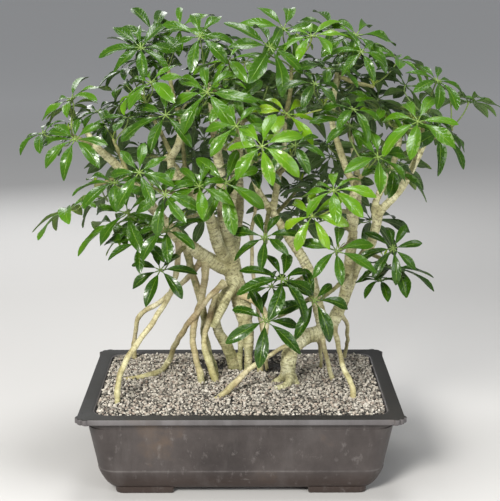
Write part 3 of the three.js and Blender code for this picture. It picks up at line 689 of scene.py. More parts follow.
roots = {
    "root_far_left": [
        [-80, 6, 294, 4], [-83, -6, 263, 3.6], [-89, -20, 236, 3.6], [-111, -40, 202, 3.7],
        [-133, -58, 174, 3.8],
        [-148, -70, 153, 3.7], [-155, -80, 127, 3.7], [-156, -88, 92, 3.5],
    ],
    "root_back_left": [
        [-50, 24, 268, 4], [-68, 34, 243, 3.5], [-87, 44, 224, 3.3], [-112, 60, 199, 3.3],
        [-138, 76, 179, 3.5],
        [-145, 88, 156, 3.2], [-150, 100, 128, 3.3], [-149, 108, 92, 3.2],
    ],
    "root_mossy": [
        [-70, 14, 284, 5], [-66, 24, 256, 4.6], [-61, 25, 237, 4.6], [-54, 26, 212, 4.8], [-48, 26, 187, 5.4],
        [-49, 26, 165, 5], [-44, 22, 144, 5], [-37, 18, 123, 5.2], [-31, 12, 92, 5],
    ],
    "root_front_left": [
        [-46, 20, 266, 4.6], [-47, 8, 243, 4.4], [-52, -1, 220, 4.2], [-60, -6, 194, 4.2],
        [-63, -10, 168, 4.2],
        [-60, -12, 147, 4.1], [-54, -14, 124, 4.2], [-48, -16, 92, 4.2],
    ],
    "root_lying_left": [
        [-22, 4, 240, 4], [-34, -8, 232, 3.8], [-50, -17, 215, 3.6], [-74, 0, 180, 3.7], [-87, 28, 152, 3.7],
        [-96, 48, 128, 3.8], [-101, 54, 116, 4.2], [-110, 30, 111, 3.9], [-130, 14, 110, 3.4],
        [-156, 8, 107.5, 2.6],
    ],
    "root_inner_left": [
        [-32, 26, 222, 4], [-40, 15, 196, 4.1], [-48, 9, 168, 4.3], [-47, 3, 146, 4.6], [-38, -3, 124, 4.8],
        [-29, -6, 92, 4.4],
    ],
    "root_centre": [
        [0, 22, 222, 4.4], [20, 12, 212, 4.4], [33, 20, 193, 4.6], [31, 28, 160, 4.6], [27, 36, 130, 4.8],
        [25, 41, 92, 4.8],
    ],
    "root_centre_thin": [
        [24, 50, 352, 2.6], [19, 58, 325, 2.5], [14, 64, 289, 2.5], [16, 68, 244, 2.5], [22, 70, 188, 2.5],
        [32, 68, 145, 2.6], [36, 68, 92, 2.5],
    ],
    "root_claw": [
        [70, -22, 166, 2.8], [52, -32, 162, 2.5], [34, -38, 152, 2.6], [13, -46, 140, 3.2],
        [-10, -58, 122, 4.2],
        [-26, -68, 110, 4.3], [-40, -78, 103, 3],
    ],
    "root_back_right": [
        [132, 24, 192, 2.8], [141, 38, 179, 2.6], [146, 64, 149, 2.5], [146, 92, 126, 2.5],
        [144, 108, 92, 2.5],
    ],
    "root_far_right": [
        [124, 14, 180, 3.4], [127, -12, 161, 3.2], [131, -36, 142, 3.3], [140, -58, 125, 3.4],
        [143, -67, 114, 3.6],
        [138, -76, 92, 3],
    ],
    "root_right": [[107, 6, 168, 3.2], [112, 2, 143, 3], [121, 4, 112, 3.2], [123, 4, 92, 3.2]],
    "root_right_thin": [[102, 16, 164, 2.4], [107, 38, 139, 2.2], [110, 64, 92, 2.2]],
}

barkShape = {"voxel": 1.3, "step": 2.0, "sides": 20, "rootStep": 1.25, "rootSides": 18}


def ringPlaces(length, dice, spacing):  # where old leaf scars ring a limb
    places = [-20.0]
    while places[-1] < length + 20:
        places.append(places[-1] + spacing * dice.uniform(0.55, 1.5))
    return np.array(places)


def scarProfile(places, along):  # swelling and dark crease beside each ring
    above = np.clip(np.searchsorted(places, along), 1, len(places) - 1)
    lower = along - places[above - 1]
    upper = places[above] - along
    swell = np.exp(-(lower / 1.0) ** 2) + np.exp(-(upper / 1.6) ** 2)
    crease = np.exp(-((lower - 1.7) / 0.75) ** 2)
    return 0.42 * swell - 0.34 * crease, np.clip(crease, 0, 1)


def noiseAt(places, scale, seed):
    return np.array([noise.noise(Vector(p) * scale + Vector((seed, 0, seed * 0.7))) for p in places])


def limbSamples(limbs, step):
    samples = []
    for number, stations in enumerate(limbs.values()):
        path = smoothPath(stations, step)
        tangents, firsts, seconds = pathFrames(path)
        lengths = pathLengths(path)
        for i in range(len(path)):
            row = [*path[i], lengths[i], number, *tangents[i], *firsts[i], *seconds[i]]
            samples.append(row)
    return np.array(samples)


def nearestSamples(places, samples):  # the limb sample whose skin each place lies nearest to
    found = np.empty(len(places), dtype=int)
    for start in range(0, len(places), 4000):
        block = places[start : start + 4000]
        away = np.linalg.norm(block[:, None, :] - samples[None, :, :3], axis=2) - samples[None, :, 3]
        found[start : start + 4000] = np.argmin(away, axis=1)
    return samples[found]


def potPlaces(mesh):  # vertices in millimetres from the middle of the pot
    flat = np.empty(len(mesh.vertices) * 3)
    mesh.vertices.foreach_get("co", flat)
    return (flat.reshape(-1, 3) - np.array(potMiddle)) / mm


def meshNormals(mesh):
    flat = np.empty(len(mesh.vertices) * 3)
    mesh.vertices.foreach_get("normal", flat)
    return flat.reshape(-1, 3)


def makeTrunk(name, node, limbs, mossy, seed, skin):
    vertices, faces = [], []
    for stations in limbs.values():
        ringed, ringFaces = tube(smoothPath(stations, barkShape["step"]), barkShape["sides"])
        start = len(vertices)
        vertices += [fromPot(*p) for p in ringed]
        faces += [tuple(start + i for i in face) for face in ringFaces]
    rough = newPiece(name + "Rough", vertices, faces)
    join = rough.modifiers.new("grownTogether", "REMESH")
    join.mode = "VOXEL"
    join.voxel_size = barkShape["voxel"] * mm
    ease = rough.modifiers.new("ease", "SMOOTH")
    ease.factor = 0.5
    ease.iterations = 5
    mesh = shapedMesh(rough)
    bpy.data.objects.remove(rough)

    places = potPlaces(mesh)
    normals = meshNormals(mesh)
    near = nearestSamples(places, limbSamples(limbs, barkShape["step"]))
    offset = places - near[:, :3]
    along = near[:, 4] + np.einsum("ij,ij->i", offset, near[:, 6:9])
    first = np.einsum("ij,ij->i", offset, near[:, 9:12])
    second = np.einsum("ij,ij->i", offset, near[:, 12:15])
    radius = near[:, 3]
    ringDice = random.Random(seed)
    swell, scar = np.zeros(len(places)), np.zeros(len(places))
    for number in range(len(limbs)):
        mine = near[:, 5] == number
        rings = ringPlaces(600, ringDice, 7.5)
        lean = ringDice.uniform(0, fullTurn)
        tilt = 0.22 * (first * math.cos(lean) + second * math.sin(lean))
        swell[mine], scar[mine] = (part[mine] for part in scarProfile(rings, along + tilt))
    lumps = noiseAt(places, 0.035, seed)
    bumps = noiseAt(places, 0.13, seed + 3)
    fine = noiseAt(places, 0.42, seed + 5)
    thick = np.clip((radius - 3) / 9, 0.12, 1)
    broken = np.clip(0.75 + 1.1 * bumps, 0.15, 1.3)
    lift = swell * broken * (0.7 + 0.5 * thick) + thick * (2.2 * lumps + 1.0 * bumps) + 0.3 * fine
    young = np.clip((5.4 - radius) / 2.2, 0, 1)
    lift *= 1 - 0.5 * young
    places = places + normals * lift[:, None]
    flat = places * mm + np.array(potMiddle)
    mesh.vertices.foreach_set("co", flat.ravel())
    mesh.update()
    moss = np.clip(mossy * np.interp(places[:, 2], [100, 150, 230, 330], [1, 0.75, 0.4, 0.0]), 0, 1)
    storeVector(mesh, "bark", np.stack([scar * np.clip(broken, 0, 1), moss, young], axis=1))
    storeVector(mesh, "grainSpace", np.stack([first, second, along], axis=1) * mm)
    mesh.materials.append(skin)
    mesh.polygons.foreach_set("use_smooth", np.ones(len(mesh.polygons), dtype=bool))
    trunk = bpy.data.objects.new(name, mesh)
    bpy.context.scene.collection.objects.link(trunk)
    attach(trunk, "root")
    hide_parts(node)
    print(name, len(mesh.polygons), "faces")


rootLooks = {  # how green, how mossy
    "root_mossy": (0.1, 1.0), "root_front_left": (0.25, 0.35), "root_inner_left": (0.5, 0.2),
    "root_claw": (0.1, 0.1), "root_lying_left": (0.2, 0.15),
}


def makeRoot(node, stations, seed, skin):
    path = smoothPath(stations, barkShape["rootStep"])
    sides = barkShape["rootSides"]
    lengths = pathLengths(path)
    flare = 1 + 0.5 * np.exp(-lengths / 9)
    path[:, 3] *= flare
    sway = np.array([noise.noise(Vector((seed * 3.1, l / 21, k))) for l in lengths for k in (0, 5)])
    path[:, :2] += sway.reshape(-1, 2) * 1.6 * np.minimum(1, lengths / 15)[:, None]
    vertices, faces = tube(path, sides)
    rings = ringPlaces(lengths[-1], random.Random(seed), 9)
    swell, scar = scarProfile(rings, np.repeat(lengths, sides))
    turns = np.tile(np.arange(sides) * fullTurn / sides, len(path))
    radius = np.repeat(path[:, 3], sides)
    out = vertices - np.repeat(path[:, :3], sides, axis=0)
    out /= np.linalg.norm(out, axis=1)[:, None]
    lift = 0.22 * swell + 0.85 * noiseAt(vertices, 0.07, seed) + 0.4 * noiseAt(vertices, 0.3, seed + 2)
    vertices = vertices + out * (lift * np.clip(radius / 4, 0.5, 1.2))[:, None]
    green, mossy = rootLooks.get(node, (0.3, 0.1))
    root = newPiece(pieceName(node), [fromPot(*p) for p in vertices], faces, [skin])
    low = np.clip((190 - vertices[:, 2]) / 90, 0, 1)
    tones = np.stack([scar, np.full(len(scar), mossy), green * low + 0.15 * mossy], axis=1)
    storeVector(root.data, "bark", tones)
    across = np.stack([np.cos(turns) * radius, np.sin(turns) * radius, np.repeat(lengths, sides)], axis=1)
    storeVector(root.data, "grainSpace", across * mm)
    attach(root, "root")
    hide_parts(node)


def trunkBark():
    material, shader, tree = newMaterial("ringedBark")
    scar, moss, young = attributeParts(tree, "bark")
    place = add(tree, "ShaderNodeTexCoord").outputs["Object"]
    space = add(tree, "ShaderNodeAttribute", attribute_name="grainSpace").outputs["Vector"]
    patches = grain(tree, 38, 5, 0.6, place)
    streaks = grain(tree, 240, 6, 0.65, space, (1, 1, 0.3))
    rings = grain(tree, 330, 5, 0.6, space, (0.28, 0.28, 1.5))
    stops = [
        (0.28, (0.24, 0.215, 0.095)), (0.43, (0.48, 0.45, 0.235)), (0.56, (0.68, 0.65, 0.39)),
        (0.72, (0.86, 0.84, 0.60)),
    ]
    base = ramp(tree, patches, stops)
    shade = ramp(tree, streaks, [(0.3, (0.5, 0.47, 0.38)), (0.5, (1, 1, 1))])
    base = blendColour(tree, 0.65, base, shade, "MULTIPLY")
    lines = ramp(tree, rings, [(0.36, (0.28, 0.24, 0.17)), (0.46, (1, 1, 1))])
    base = blendColour(tree, 0.6, base, lines, "MULTIPLY")
    specks = spread(tree, grain(tree, 340, 5, 0.62, place), 0.54, 0.62)
    base = tint(tree, base, specks, 0.68, (0.13, 0.11, 0.045))
    base = tint(tree, base, scar, 0.6, (0.10, 0.078, 0.042))
    twig = blendColour(tree, 0.35, base, (0.30, 0.33, 0.12))
    base = tint(tree, base, young, 0.8, twig)
    mossNoise = spread(tree, grain(tree, 60, 7, 0.7, place), 0.42, 0.6)
    mossMask = maths(tree, "MULTIPLY", mossNoise, moss)
    mossGrain = grain(tree, 700, 3, 0.6, place)
    mossColour = ramp(tree, mossGrain, [(0.3, (0.055, 0.075, 0.018)), (0.7, (0.17, 0.20, 0.06))])
    base = tint(tree, base, mossMask, 0.8, mossColour)
    feed(tree, shader.inputs["Base Color"], base)
    shader.inputs["Roughness"].default_value = 0.78
    soft = bump(tree, shader, rings, 0.0006, 0.8)
    bump(tree, shader, streaks, 0.0004, 0.6, soft)
    return material


def rootBark():
    material, shader, tree = newMaterial("aerialRootBark")
    scar, moss, green = attributeParts(tree, "bark")
    place = add(tree, "ShaderNodeTexCoord").outputs["Object"]
    space = add(tree, "ShaderNodeAttribute", attribute_name="grainSpace").outputs["Vector"]
    patches = grain(tree, 48, 5, 0.62, place)
    streaks = grain(tree, 300, 6, 0.65, space, (1, 1, 0.25))
    rings = grain(tree, 420, 5, 0.6, space, (0.25, 0.25, 1.3))
    stops = [
        (0.28, (0.28, 0.21, 0.10)), (0.43, (0.52, 0.46, 0.25)), (0.56, (0.70, 0.65, 0.40)),
        (0.74, (0.86, 0.82, 0.58)),
    ]
    base = ramp(tree, patches, stops)
    tan = spread(tree, grain(tree, 17, 3, 0.5, place), 0.52, 0.64)
    base = tint(tree, base, tan, 0.45, (0.44, 0.29, 0.18))
    shade = ramp(tree, streaks, [(0.3, (0.48, 0.43, 0.34)), (0.52, (1, 1, 1))])
    base = blendColour(tree, 0.65, base, shade, "MULTIPLY")
    lines = ramp(tree, rings, [(0.35, (0.38, 0.32, 0.22)), (0.45, (1, 1, 1))])
    base = blendColour(tree, 0.45, base, lines, "MULTIPLY")
    specks = spread(tree, grain(tree, 380, 5, 0.62, place), 0.56, 0.64)
    base = tint(tree, base, specks, 0.55, (0.17, 0.12, 0.055))
    base = tint(tree, base, scar, 0.3, (0.16, 0.11, 0.055))
    greenish = ramp(tree, streaks, [(0.3, (0.24, 0.25, 0.065)), (0.7, (0.60, 0.58, 0.20))])
    base = blendColour(tree, green, base, greenish)
    mossNoise = spread(tree, grain(tree, 75, 7, 0.7, place), 0.40, 0.58)
    mossMask = maths(tree, "MULTIPLY", mossNoise, moss)
    mossGrain = grain(tree, 800, 3, 0.6, place)
    mossColour = ramp(tree, mossGrain, [(0.3, (0.05, 0.07, 0.016)), (0.7, (0.18, 0.21, 0.06))])
    base = tint(tree, base, mossMask, 0.85, mossColour)
    feed(tree, shader.inputs["Base Color"], base)
    shader.inputs["Roughness"].default_value = 0.72
    soft = bump(tree, shader, rings, 0.0005, 0.7)
    bump(tree, shader, streaks, 0.0004, 0.6, soft)
    return material


# where each shoot leaves the wood and where it ends
shoots = {
    "far_left": ([-184, -6, 424], [-212, -14, 436]), "left_shoulder": ([-135, 0, 368], [-160, -4, 426]),
    "left_crown": ([-86, -16, 408], [-120, 0, 473]), "top_left": ([-74, -9, 452], [-92, 15, 518]),
    "top_left_inner": ([-34, 19, 440], [-45, 22, 513]), "top_middle": ([-38, 22, 490], [-20, 0, 498]),
    "upper_left": ([-67, -3, 486], [-58, -30, 466]), "left_front": ([-60, -13, 361], [-105, -75, 378]),
    "left_low_front": ([-90, 7, 312], [-112, -40, 318]), "left_low": ([-70, 12, 290], [-86, -25, 282]),
    "left_drooping": ([-150, -3, 388], [-182, -8, 372]), "middle_left": ([-42, -8, 340], [-48, -65, 368]),
    "middle_front": ([-33, 18, 425], [-18, -65, 426]), "middle_bright": ([8, 44, 410], [18, -60, 410]),
    "middle_back": ([-1, 50, 446], [20, 62, 453]), "middle_low": ([38, 37, 334], [30, -60, 306]),
    "low_front": ([90, 18, 250], [60, -75, 258]), "low_rosette": ([97, 14, 222], [50, -70, 216]),
    "right_low_front": ([141, 10, 252], [105, -60, 238]), "right_front": ([144, -3, 300], [124, -60, 298]),
    "far_right_low": ([166, 22, 280], [182, -22, 278]), "right_pale": ([141, -9, 338], [115, -75, 353]),
    "right_rosette": ([145, -12, 372], [155, -55, 396]), "middle_right": ([50, 23, 382], [62, -45, 413]),
    "upper_right_front": ([117, -3, 455], [106, -25, 470]), "top_centre": ([57, 20, 455], [65, 15, 518]),
    "top_right": ([119, 3, 488], [128, 20, 523]), "top_far_right": ([121, 6, 510], [165, 8, 496]),
    "outer_right_upper": ([232, 28, 408], [236, 15, 453]), "far_right": ([240, 26, 426], [268, 18, 438]),
    "outer_right_front": ([216, 30, 373], [222, -15, 413]),
    "inner_right": ([212, 60, 434], [196, 64, 443]), "back_left": ([-98, 104, 390], [-122, 128, 390]),
    "back_left_high": ([-74, 88, 362], [-82, 96, 458]), "back_left_low": ([-48, 62, 326], [-75, 120, 306]),
    "back_middle": ([-2, 96, 372], [-8, 152, 383]), "back_middle_high": ([2, 106, 436], [15, 122, 483]),
    "back_middle_low": ([44, 37, 324], [82, 112, 352]), "back_right": ([156, 102, 370], [168, 134, 392]),
    "back_right_high": ([150, 112, 416], [132, 124, 466]),
    "back_right_low": ([150, 72, 294], [130, 132, 310]),
}

leafShape = {
    "rows": (0, 0.07, 0.13, 0.17, 0.23, 0.31, 0.41, 0.52, 0.63, 0.74, 0.84, 0.92, 0.97, 1),
    "across": (-1, -0.52, 0, 0.52, 1),
    "stalkEnd": 0.14,  # share of a leaflet that is its little stalk
    "halfWidth": 0.138,  # of the leaflet's length
    "thickness": 0.45,
    "leaflets": (6, 8),
}


def bladeWidths():
    rows = np.array(leafShape["rows"])
    t = np.clip((rows - leafShape["stalkEnd"]) / (1 - leafShape["stalkEnd"]), 0, 1)
    width = np.sin(math.pi * t**1.08) ** 0.72 * t**0.22
    width /= width.max()
    width[-1] = 0.1
    return width, t


def leafGrid():  # faces of one leaflet: upper skin, then under skin sharing its rim
    rows, columns = len(leafShape["rows"]), len(leafShape["across"])
    order = [(row, column) for row in range(1, rows - 1) for column in range(1, columns - 1)]
    under = {key: rows * columns + i for i, key in enumerate(order)}
    upper = []
    lower = []
    for row in range(rows - 1):
        for column in range(columns - 1):
            corners = [(row, column), (row, column + 1), (row + 1, column + 1), (row + 1, column)]
            flat = [r * columns + c for r, c in corners]
            upper.append(tuple(flat))
            turned = zip(reversed(corners), reversed(flat))
            lower.append(tuple(under.get(key, place) for key, place in turned))
    inner = np.array([r * columns + c for r, c in order])
    return np.array(upper), np.array(lower), inner


leafWidths, leafAlong = bladeWidths()
upperFaces, lowerFaces, innerPlaces = leafGrid()


# the vertices of one leaflet and its blade values
def leaflet(hub, out, facing, length, dice, wide=1.0, droop=0.0):
    rows = np.array(leafShape["rows"])
    across = np.array(leafShape["across"])
    rise, fall = dice.uniform(0.12, 0.36), dice.uniform(0.5, 1.2) + droop
    bend, twist = dice.uniform(-0.22, 0.22), dice.uniform(-0.3, 0.3)
    fold, wave, phase = dice.uniform(0.2, 0.58), dice.uniform(0.03, 0.11), dice.uniform(0, fullTurn)
    side = np.cross(facing, out)
    slope = rise - fall * rows**1.25
    turn = bend * rows**1.5
    heading = out * np.cos(turn)[:, None] + side * np.sin(turn)[:, None]
    tangent = heading * np.cos(slope)[:, None] + facing * np.sin(slope)[:, None]
    steps = np.diff(rows, prepend=0)[:, None] * length
    rib = hub + np.cumsum(tangent * steps, axis=0)
    beside = np.cross(facing, heading)
    above = np.cross(tangent, beside)
    rolled = beside * np.cos(twist * rows)[:, None] + above * np.sin(twist * rows)[:, None]
    above = np.cross(tangent, rolled)
    half = np.maximum(leafWidths * leafShape["halfWidth"] * length * wide, 0)
    stalk = rows < leafShape["stalkEnd"]
    half[stalk] = 0.75
    opening = fold * (1 - 0.5 * leafAlong)
    reach = across[None, :] * half[:, None]
    edge = np.abs(across)[None, :]
    lift = np.abs(reach) * np.sin(opening)[:, None]
    ripple = np.sin(phase + 8 * rows[:, None] + across[None, :] * 1.7)
    lift += wave * length * 0.5 * edge**2 * ripple * leafWidths[:, None]
    top = rib[:, None, :] + rolled[:, None, :] * (reach * np.cos(opening)[:, None])[:, :, None]
    top = top + above[:, None, :] * lift[:, :, None]
    thick = np.where(stalk, 1.3, leafShape["thickness"])
    bottom = top - above[:, None, :] * (thick[:, None, None] * (1.25 - edge[:, :, None] ** 2))
    top[stalk] += above[stalk][:, None, :] * (0.5 * (1 - edge[0] ** 2))[None, :, None]
    vertices = np.vstack([top.reshape(-1, 3), bottom.reshape(-1, 3)[innerPlaces]])
    blade = np.stack(np.broadcast_arrays(across[None, :], leafAlong[:, None]), axis=2).reshape(-1, 2)
    return vertices, np.vstack([blade, blade[innerPlaces]])


class Growth:  # vertices, faces, material places and blade values of one spray as it grows
    def __init__(self):
        self.vertices, self.faces, self.slots, self.blades = [], [], [], []
        self.count = 0

    def take(self, vertices, groups, blades):
        for faces, slot in groups:
            self.faces += [tuple(int(i) + self.count for i in face) for face in faces]
            self.slots += [slot] * len(faces)
        self.vertices.append(np.asarray(vertices))
        self.blades.append(np.asarray(blades))
        self.count += len(vertices)

    def addTube(self, path, sides, slot, tone):
        vertices, faces = tube(np.asarray(path), sides)
        along = np.repeat(np.linspace(0, 1, len(path)), sides)
        blades = np.stack([np.zeros(len(vertices)), along, np.full(len(vertices), tone)], axis=1)
        self.take(vertices, [(faces, slot)], blades)

    def addLeaflet(self, hub, out, facing, length, dice, tone, wide=1.0, droop=0.0):
        vertices, blade = leaflet(hub, out, facing, length, dice, wide, droop)
        vertices = keptInside(vertices, hub)
        tones = np.full((len(vertices), 1), tone)
        self.take(vertices, [(upperFaces, 0), (lowerFaces, 1)], np.hstack([blade, tones]))

    def addKnob(self, middle, radius, slot, tone):
        angles = np.linspace(-0.5, 0.5, 5) * math.pi
        path = []
        for a in angles:
            lifted = middle + np.array([0, 0, radius * math.sin(a)])
            path.append([*lifted, radius * max(0.12, math.cos(a))])
        self.addTube(path, 8, slot, tone)

    def finish(self, name, materials):
        vertices = (np.vstack(self.vertices) * mm) + np.array(potMiddle)
        piece = newPiece(name, vertices, self.faces, materials, self.slots)
        storeVector(piece.data, "blade", np.vstack(self.blades))
        piece.data.set_sharp_from_angle(angle=math.radians(70))
        return piece


def bezier(a, b, c, d, count):
    t = np.linspace(0, 1, count)[:, None]
    return a * (1 - t) ** 3 + 3 * b * t * (1 - t) ** 2 + 3 * c * t**2 * (1 - t) + d * t**3


def unit(v):
    return v / (np.linalg.norm(v) + 1e-12)


def leavesOf(node):  # hub, facing and leaflet reach of each leaf in a CAD spray
    places, triangles = nodePlaces(node)
    places = (places - np.array(potMiddle)) / mm
    neighbours = {}
    for a, b, c in triangles:
        for start, end in ((a, b), (b, c), (c, a)):
            neighbours.setdefault(start, set()).add(end)
            neighbours.setdefault(end, set()).add(start)
    found = []
    for vertex, around in sorted(neighbours.items(), key=lambda entry: -len(entry[1])):
        spokes = places[sorted(around)] - places[vertex]
        lengths = np.linalg.norm(spokes, axis=1)
        tips = spokes[lengths > 28]
        if len(tips) < 4 or np.sum((lengths > 10) & (lengths <= 28)) < 4:
            continue
        facing = unit(-tips.mean(axis=0))
        hub = places[vertex] - facing * 1.1
        if all(np.linalg.norm(hub - other[0]) > 4 for other in found):
            found.append((hub, facing, float(np.mean(lengths[lengths > 28]))))
    return found


freshSprays = {
    "middle_bright": 0.2, "right_pale": 0.2, "top_middle": 0.12, "left_drooping": 0.12,
    "low_rosette": -0.12, "low_front": -0.08,
}
boxLow = (np.array(cadLow) - np.array(potMiddle)) / mm
boxHigh = (np.array(cadHigh) - np.array(potMiddle)) / mm
boxRoom = np.array([4, 14, 7])


def keptInside(vertices, hub):  # a leaflet that would leave the tree's outline is shortened
    outwards = (vertices - hub) / (boxHigh + boxRoom - hub)
    inwards = (vertices - hub) / (boxLow - boxRoom - hub)
    return hub + (vertices - hub) / max(1.0, outwards.max(), inwards.max())


def addLeaf(growth, hub, facing, reach, start, shootWay, dice, tone):
    away = unit(hub - start + np.array([0, 0, -0.8 * np.linalg.norm(hub - start)]))
    first = unit(away - facing * away.dot(facing))
    second = np.cross(facing, first)
    count = dice.randint(*leafShape["leaflets"])
    spin = dice.uniform(-0.3, 0.3)
    for i in range(count):
        angle = spin + (i + dice.uniform(-0.16, 0.16)) * fullTurn / count
        out = first * math.cos(angle) + second * math.sin(angle)
        length = reach * (1.08 + 0.12 * math.cos(angle)) * dice.uniform(0.84, 1.1)
        own = tone + dice.uniform(-0.05, 0.05)
        growth.addLeaflet(hub, out, facing, length, dice, own, dice.uniform(0.92, 1.12), 0.12 * dice.random())
    distance = np.linalg.norm(hub - start)
    leave = start + (shootWay * 0.35 + unit(hub - start) * 0.75) * distance * 0.35
    arrive = hub - facing * distance * 0.3 - unit(hub - start) * distance * 0.08
    curve = bezier(start, leave, arrive, hub - facing * 0.8, 10)
    radii = np.interp(np.linspace(0, 1, 10), [0, 0.12, 0.85, 1], [1.7, 1.0, 0.85, 1.35])
    growth.addTube(np.hstack([curve, radii[:, None]]), 6, 2, tone)
    growth.addKnob(hub - facing * 0.2, 1.7, 2, tone)


def leafTone(hub, spray, dice):
    high = np.interp(hub[2], [220, 420, 580], [-0.10, 0.0, 0.07])
    # painted light and shade: front leaves are made lighter and back leaves darker; the height term follows
    # leaf age
    front = np.interp(hub[1], [-130, 40, 160], [0.05, -0.02, -0.1])
    tone = 0.38 + high + front + dice.gauss(0, 0.115) + freshSprays.get(spray, 0)
    if dice.random() < 0.06 and hub[2] > 330:
        tone += 0.2
    return min(0.97, max(0.05, tone))


def makeSpray(spray, materials, number):
    growth = Growth()
    leafDice = random.Random(900 + number)
    start, end = (np.array(point, dtype=float) for point in shoots[spray])
    way = unit(end - start)
    middle = (start + end) / 2 + np.array([leafDice.uniform(-2, 2), leafDice.uniform(-2, 2), -1.5])
    path = smoothPath([[*start, 3.2], [*middle, 2.7], [*end, 2.2], [*(end + way * 5), 1.5]], 1.6)
    along = np.linspace(0, 1, len(path))
    path[:, 3] *= 1 + 0.13 * np.maximum(0, np.sin(along * len(path) * 0.62)) ** 3
    growth.addTube(path, 9, 3, 0.5)
    shootLength = np.linalg.norm(end - start)
    for hub, facing, reach in leavesOf("spray_" + spray):
        share = (hub - start).dot(way) / shootLength * 0.8
        foot = start + way * shootLength * min(0.97, max(0.55, share))
        lean = np.array([leafDice.gauss(0, 0.2), leafDice.gauss(0, 0.2), leafDice.gauss(0.1, 0.2)])
        facing = unit(facing + lean)
        tone = leafTone(hub, spray, leafDice)
        addLeaf(growth, hub, facing, reach, foot, way, leafDice, tone)
        if leafDice.random() < 0.45:  # a smaller leaf behind it
            swing = np.array([leafDice.uniform(*span) for span in ((-1, 1), (-0.2, 1), (-0.6, 0.8))])
            small = foot + (hub - foot) * leafDice.uniform(0.45, 0.7) + unit(swing) * leafDice.uniform(14, 24)
            turned = unit(facing + 0.7 * swing)
            size = reach * leafDice.uniform(0.5, 0.72)
            ownTone = min(0.95, tone + leafDice.uniform(-0.1, 0.12))
            addLeaf(growth, small, turned, size, foot, way, leafDice, ownTone)
    tip = end + way * 4
    for i in range(3):
        angle = i * 2.1 + number
        out = unit(np.array([math.cos(angle), math.sin(angle), 0.2]))
        facing = unit(np.array([-0.6 * math.cos(angle), -0.6 * math.sin(angle), 1]))
        up = unit(out * 0.45 + np.array([0, 0, 1]))
        facing = unit(facing - up * facing.dot(up))
        growth.addLeaflet(tip, up, facing, leafDice.uniform(11, 17), leafDice, 0.86, 0.8)
    piece = growth.finish(pieceName(spray) + "Spray", materials)
    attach(piece, "root")
    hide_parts("spray_" + spray)


def veins(tree, across, along):  # 1 on the fine side veins that sweep forwards from the rib
    edge = maths(tree, "ABSOLUTE", across)
    sweep = maths(tree, "SUBTRACT", maths(tree, "MULTIPLY", along, 9.0), maths(tree, "MULTIPLY", edge, 1.5))
    wave = maths(tree, "ABSOLUTE", maths(tree, "SUBTRACT", maths(tree, "FRACT", sweep), 0.5))
    return spread(tree, wave, 0.10, 0.0)


def leafTop():
    material, shader, tree = newMaterial("glossyLeafTop")
    across, along, tone = attributeParts(tree, "blade")
    place = add(tree, "ShaderNodeTexCoord").outputs["Object"]
    edge = maths(tree, "ABSOLUTE", across)
    blotch = grain(tree, 55, 4, 0.55, place)
    mottle = grain(tree, 420, 4, 0.6, place)
    shifted = maths(tree, "ADD", tone, maths(tree, "MULTIPLY", maths(tree, "SUBTRACT", blotch, 0.5), 0.22))
    stops = [
        (0.0, (0.006, 0.022, 0.001)), (0.25, (0.013, 0.046, 0.001)), (0.45, (0.028, 0.088, 0.002)),
        (0.62, (0.062, 0.165, 0.003)), (0.8, (0.150, 0.300, 0.006)), (1.0, (0.36, 0.42, 0.012)),
    ]
    base = ramp(tree, shifted, stops)
    paler = blendColour(tree, 0.28, base, (0.08, 0.17, 0.006))
    base = blendColour(tree, spread(tree, mottle, 0.45, 0.7), base, paler)
    side = veins(tree, across, along)
    base = tint(tree, base, side, 0.16, (0.12, 0.23, 0.012))
    rib = maths(tree, "MULTIPLY", spread(tree, edge, 0.085, 0.02), spread(tree, along, 1.0, 0.75, 0.25, 0.85))
    base = tint(tree, base, rib, 0.5, (0.20, 0.33, 0.03))
    rim = spread(tree, edge, 0.93, 0.995)
    base = tint(tree, base, rim, 0.35, (0.20, 0.30, 0.09))
    stalk = spread(tree, along, 0.012, 0.0)
    base = blendColour(tree, stalk, base, (0.17, 0.26, 0.055))
    feed(tree, shader.inputs["Base Color"], base)
    feed(tree, shader.inputs["Roughness"], spread(tree, mottle, 0.3, 0.7, 0.17, 0.29))
    shader.inputs["Specular IOR Level"].default_value = 0.38
    raised = maths(tree, "MAXIMUM", rib, maths(tree, "MULTIPLY", side, 0.4))
    soft = bump(tree, shader, maths(tree, "SUBTRACT", 1.0, raised), 0.0004, 0.7)
    bump(tree, shader, blotch, 0.002, 0.35, soft)
    return material


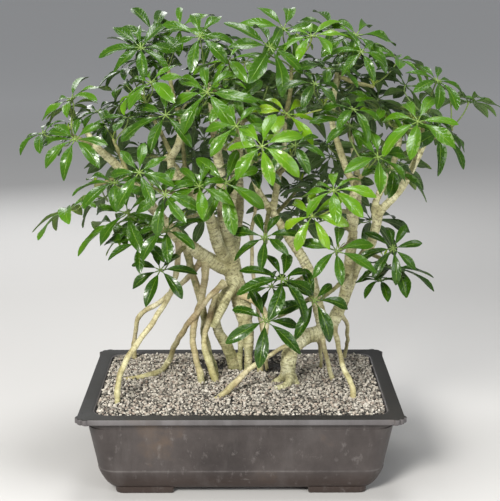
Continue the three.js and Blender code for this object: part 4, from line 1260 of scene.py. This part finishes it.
def leafUnder():
    material, shader, tree = newMaterial("paleLeafUnderside")
    across, along, tone = attributeParts(tree, "blade")
    edge = maths(tree, "ABSOLUTE", across)
    mottle = grain(tree, 380, 4, 0.6)
    stops = [(0.1, (0.030, 0.070, 0.014)), (0.5, (0.075, 0.145, 0.024)), (0.9, (0.24, 0.32, 0.04))]
    base = ramp(tree, tone, stops)
    base = tint(tree, base, spread(tree, mottle, 0.4, 0.7), 0.25, (0.13, 0.21, 0.08))
    side = veins(tree, across, along)
    rib = spread(tree, edge, 0.10, 0.03)
    lines = maths(tree, "MAXIMUM", rib, maths(tree, "MULTIPLY", side, 0.3))
    base = tint(tree, base, lines, 0.6, (0.26, 0.36, 0.14))
    feed(tree, shader.inputs["Base Color"], base)
    shader.inputs["Roughness"].default_value = 0.62
    bump(tree, shader, lines, 0.0005, 0.8)
    return material


def leafStalk():
    material, shader, tree = newMaterial("leafStalk")
    tone = attributeParts(tree, "blade")[2]
    flecks = grain(tree, 260, 4, 0.6)
    stops = [(0.2, (0.10, 0.17, 0.035)), (0.55, (0.18, 0.27, 0.05)), (0.9, (0.32, 0.38, 0.07))]
    base = ramp(tree, tone, stops)
    base = tint(tree, base, spread(tree, flecks, 0.45, 0.7), 0.35, (0.26, 0.24, 0.08))
    feed(tree, shader.inputs["Base Color"], base)
    shader.inputs["Roughness"].default_value = 0.48
    bump(tree, shader, flecks, 0.0003, 0.5)
    return material


def shootBark():
    stops = [(0.32, (0.10, 0.085, 0.03)), (0.5, (0.20, 0.20, 0.07)), (0.7, (0.34, 0.31, 0.15))]
    material, shader, tree, flecks = blotchedMaterial("greenShootBark", 190, 5, 0.62, stops, 0.7)
    bump(tree, shader, flecks, 0.0006, 0.7)
    return material


makeCamera()
makeLamps()
makeFloor()
makePot()
finishDrainMeshes()
print("pot done")
makeGritBed()
makeGrit()
trunkSkin, rootSkin = trunkBark(), rootBark()
makeTrunk("leftTrunk", "left_trunk", leftLimbs, 0.75, 4, trunkSkin)
makeTrunk("rightTrunk", "right_trunk", rightLimbs, 0.3, 8, trunkSkin)
for number, (node, stations) in enumerate(roots.items()):
    makeRoot(node, stations, 20 + number, rootSkin)
print("wood done")
leafMaterials = [leafTop(), leafUnder(), leafStalk(), shootBark()]
for number, spray in enumerate(shoots):
    makeSpray(spray, leafMaterials, number)
print("leaves done")
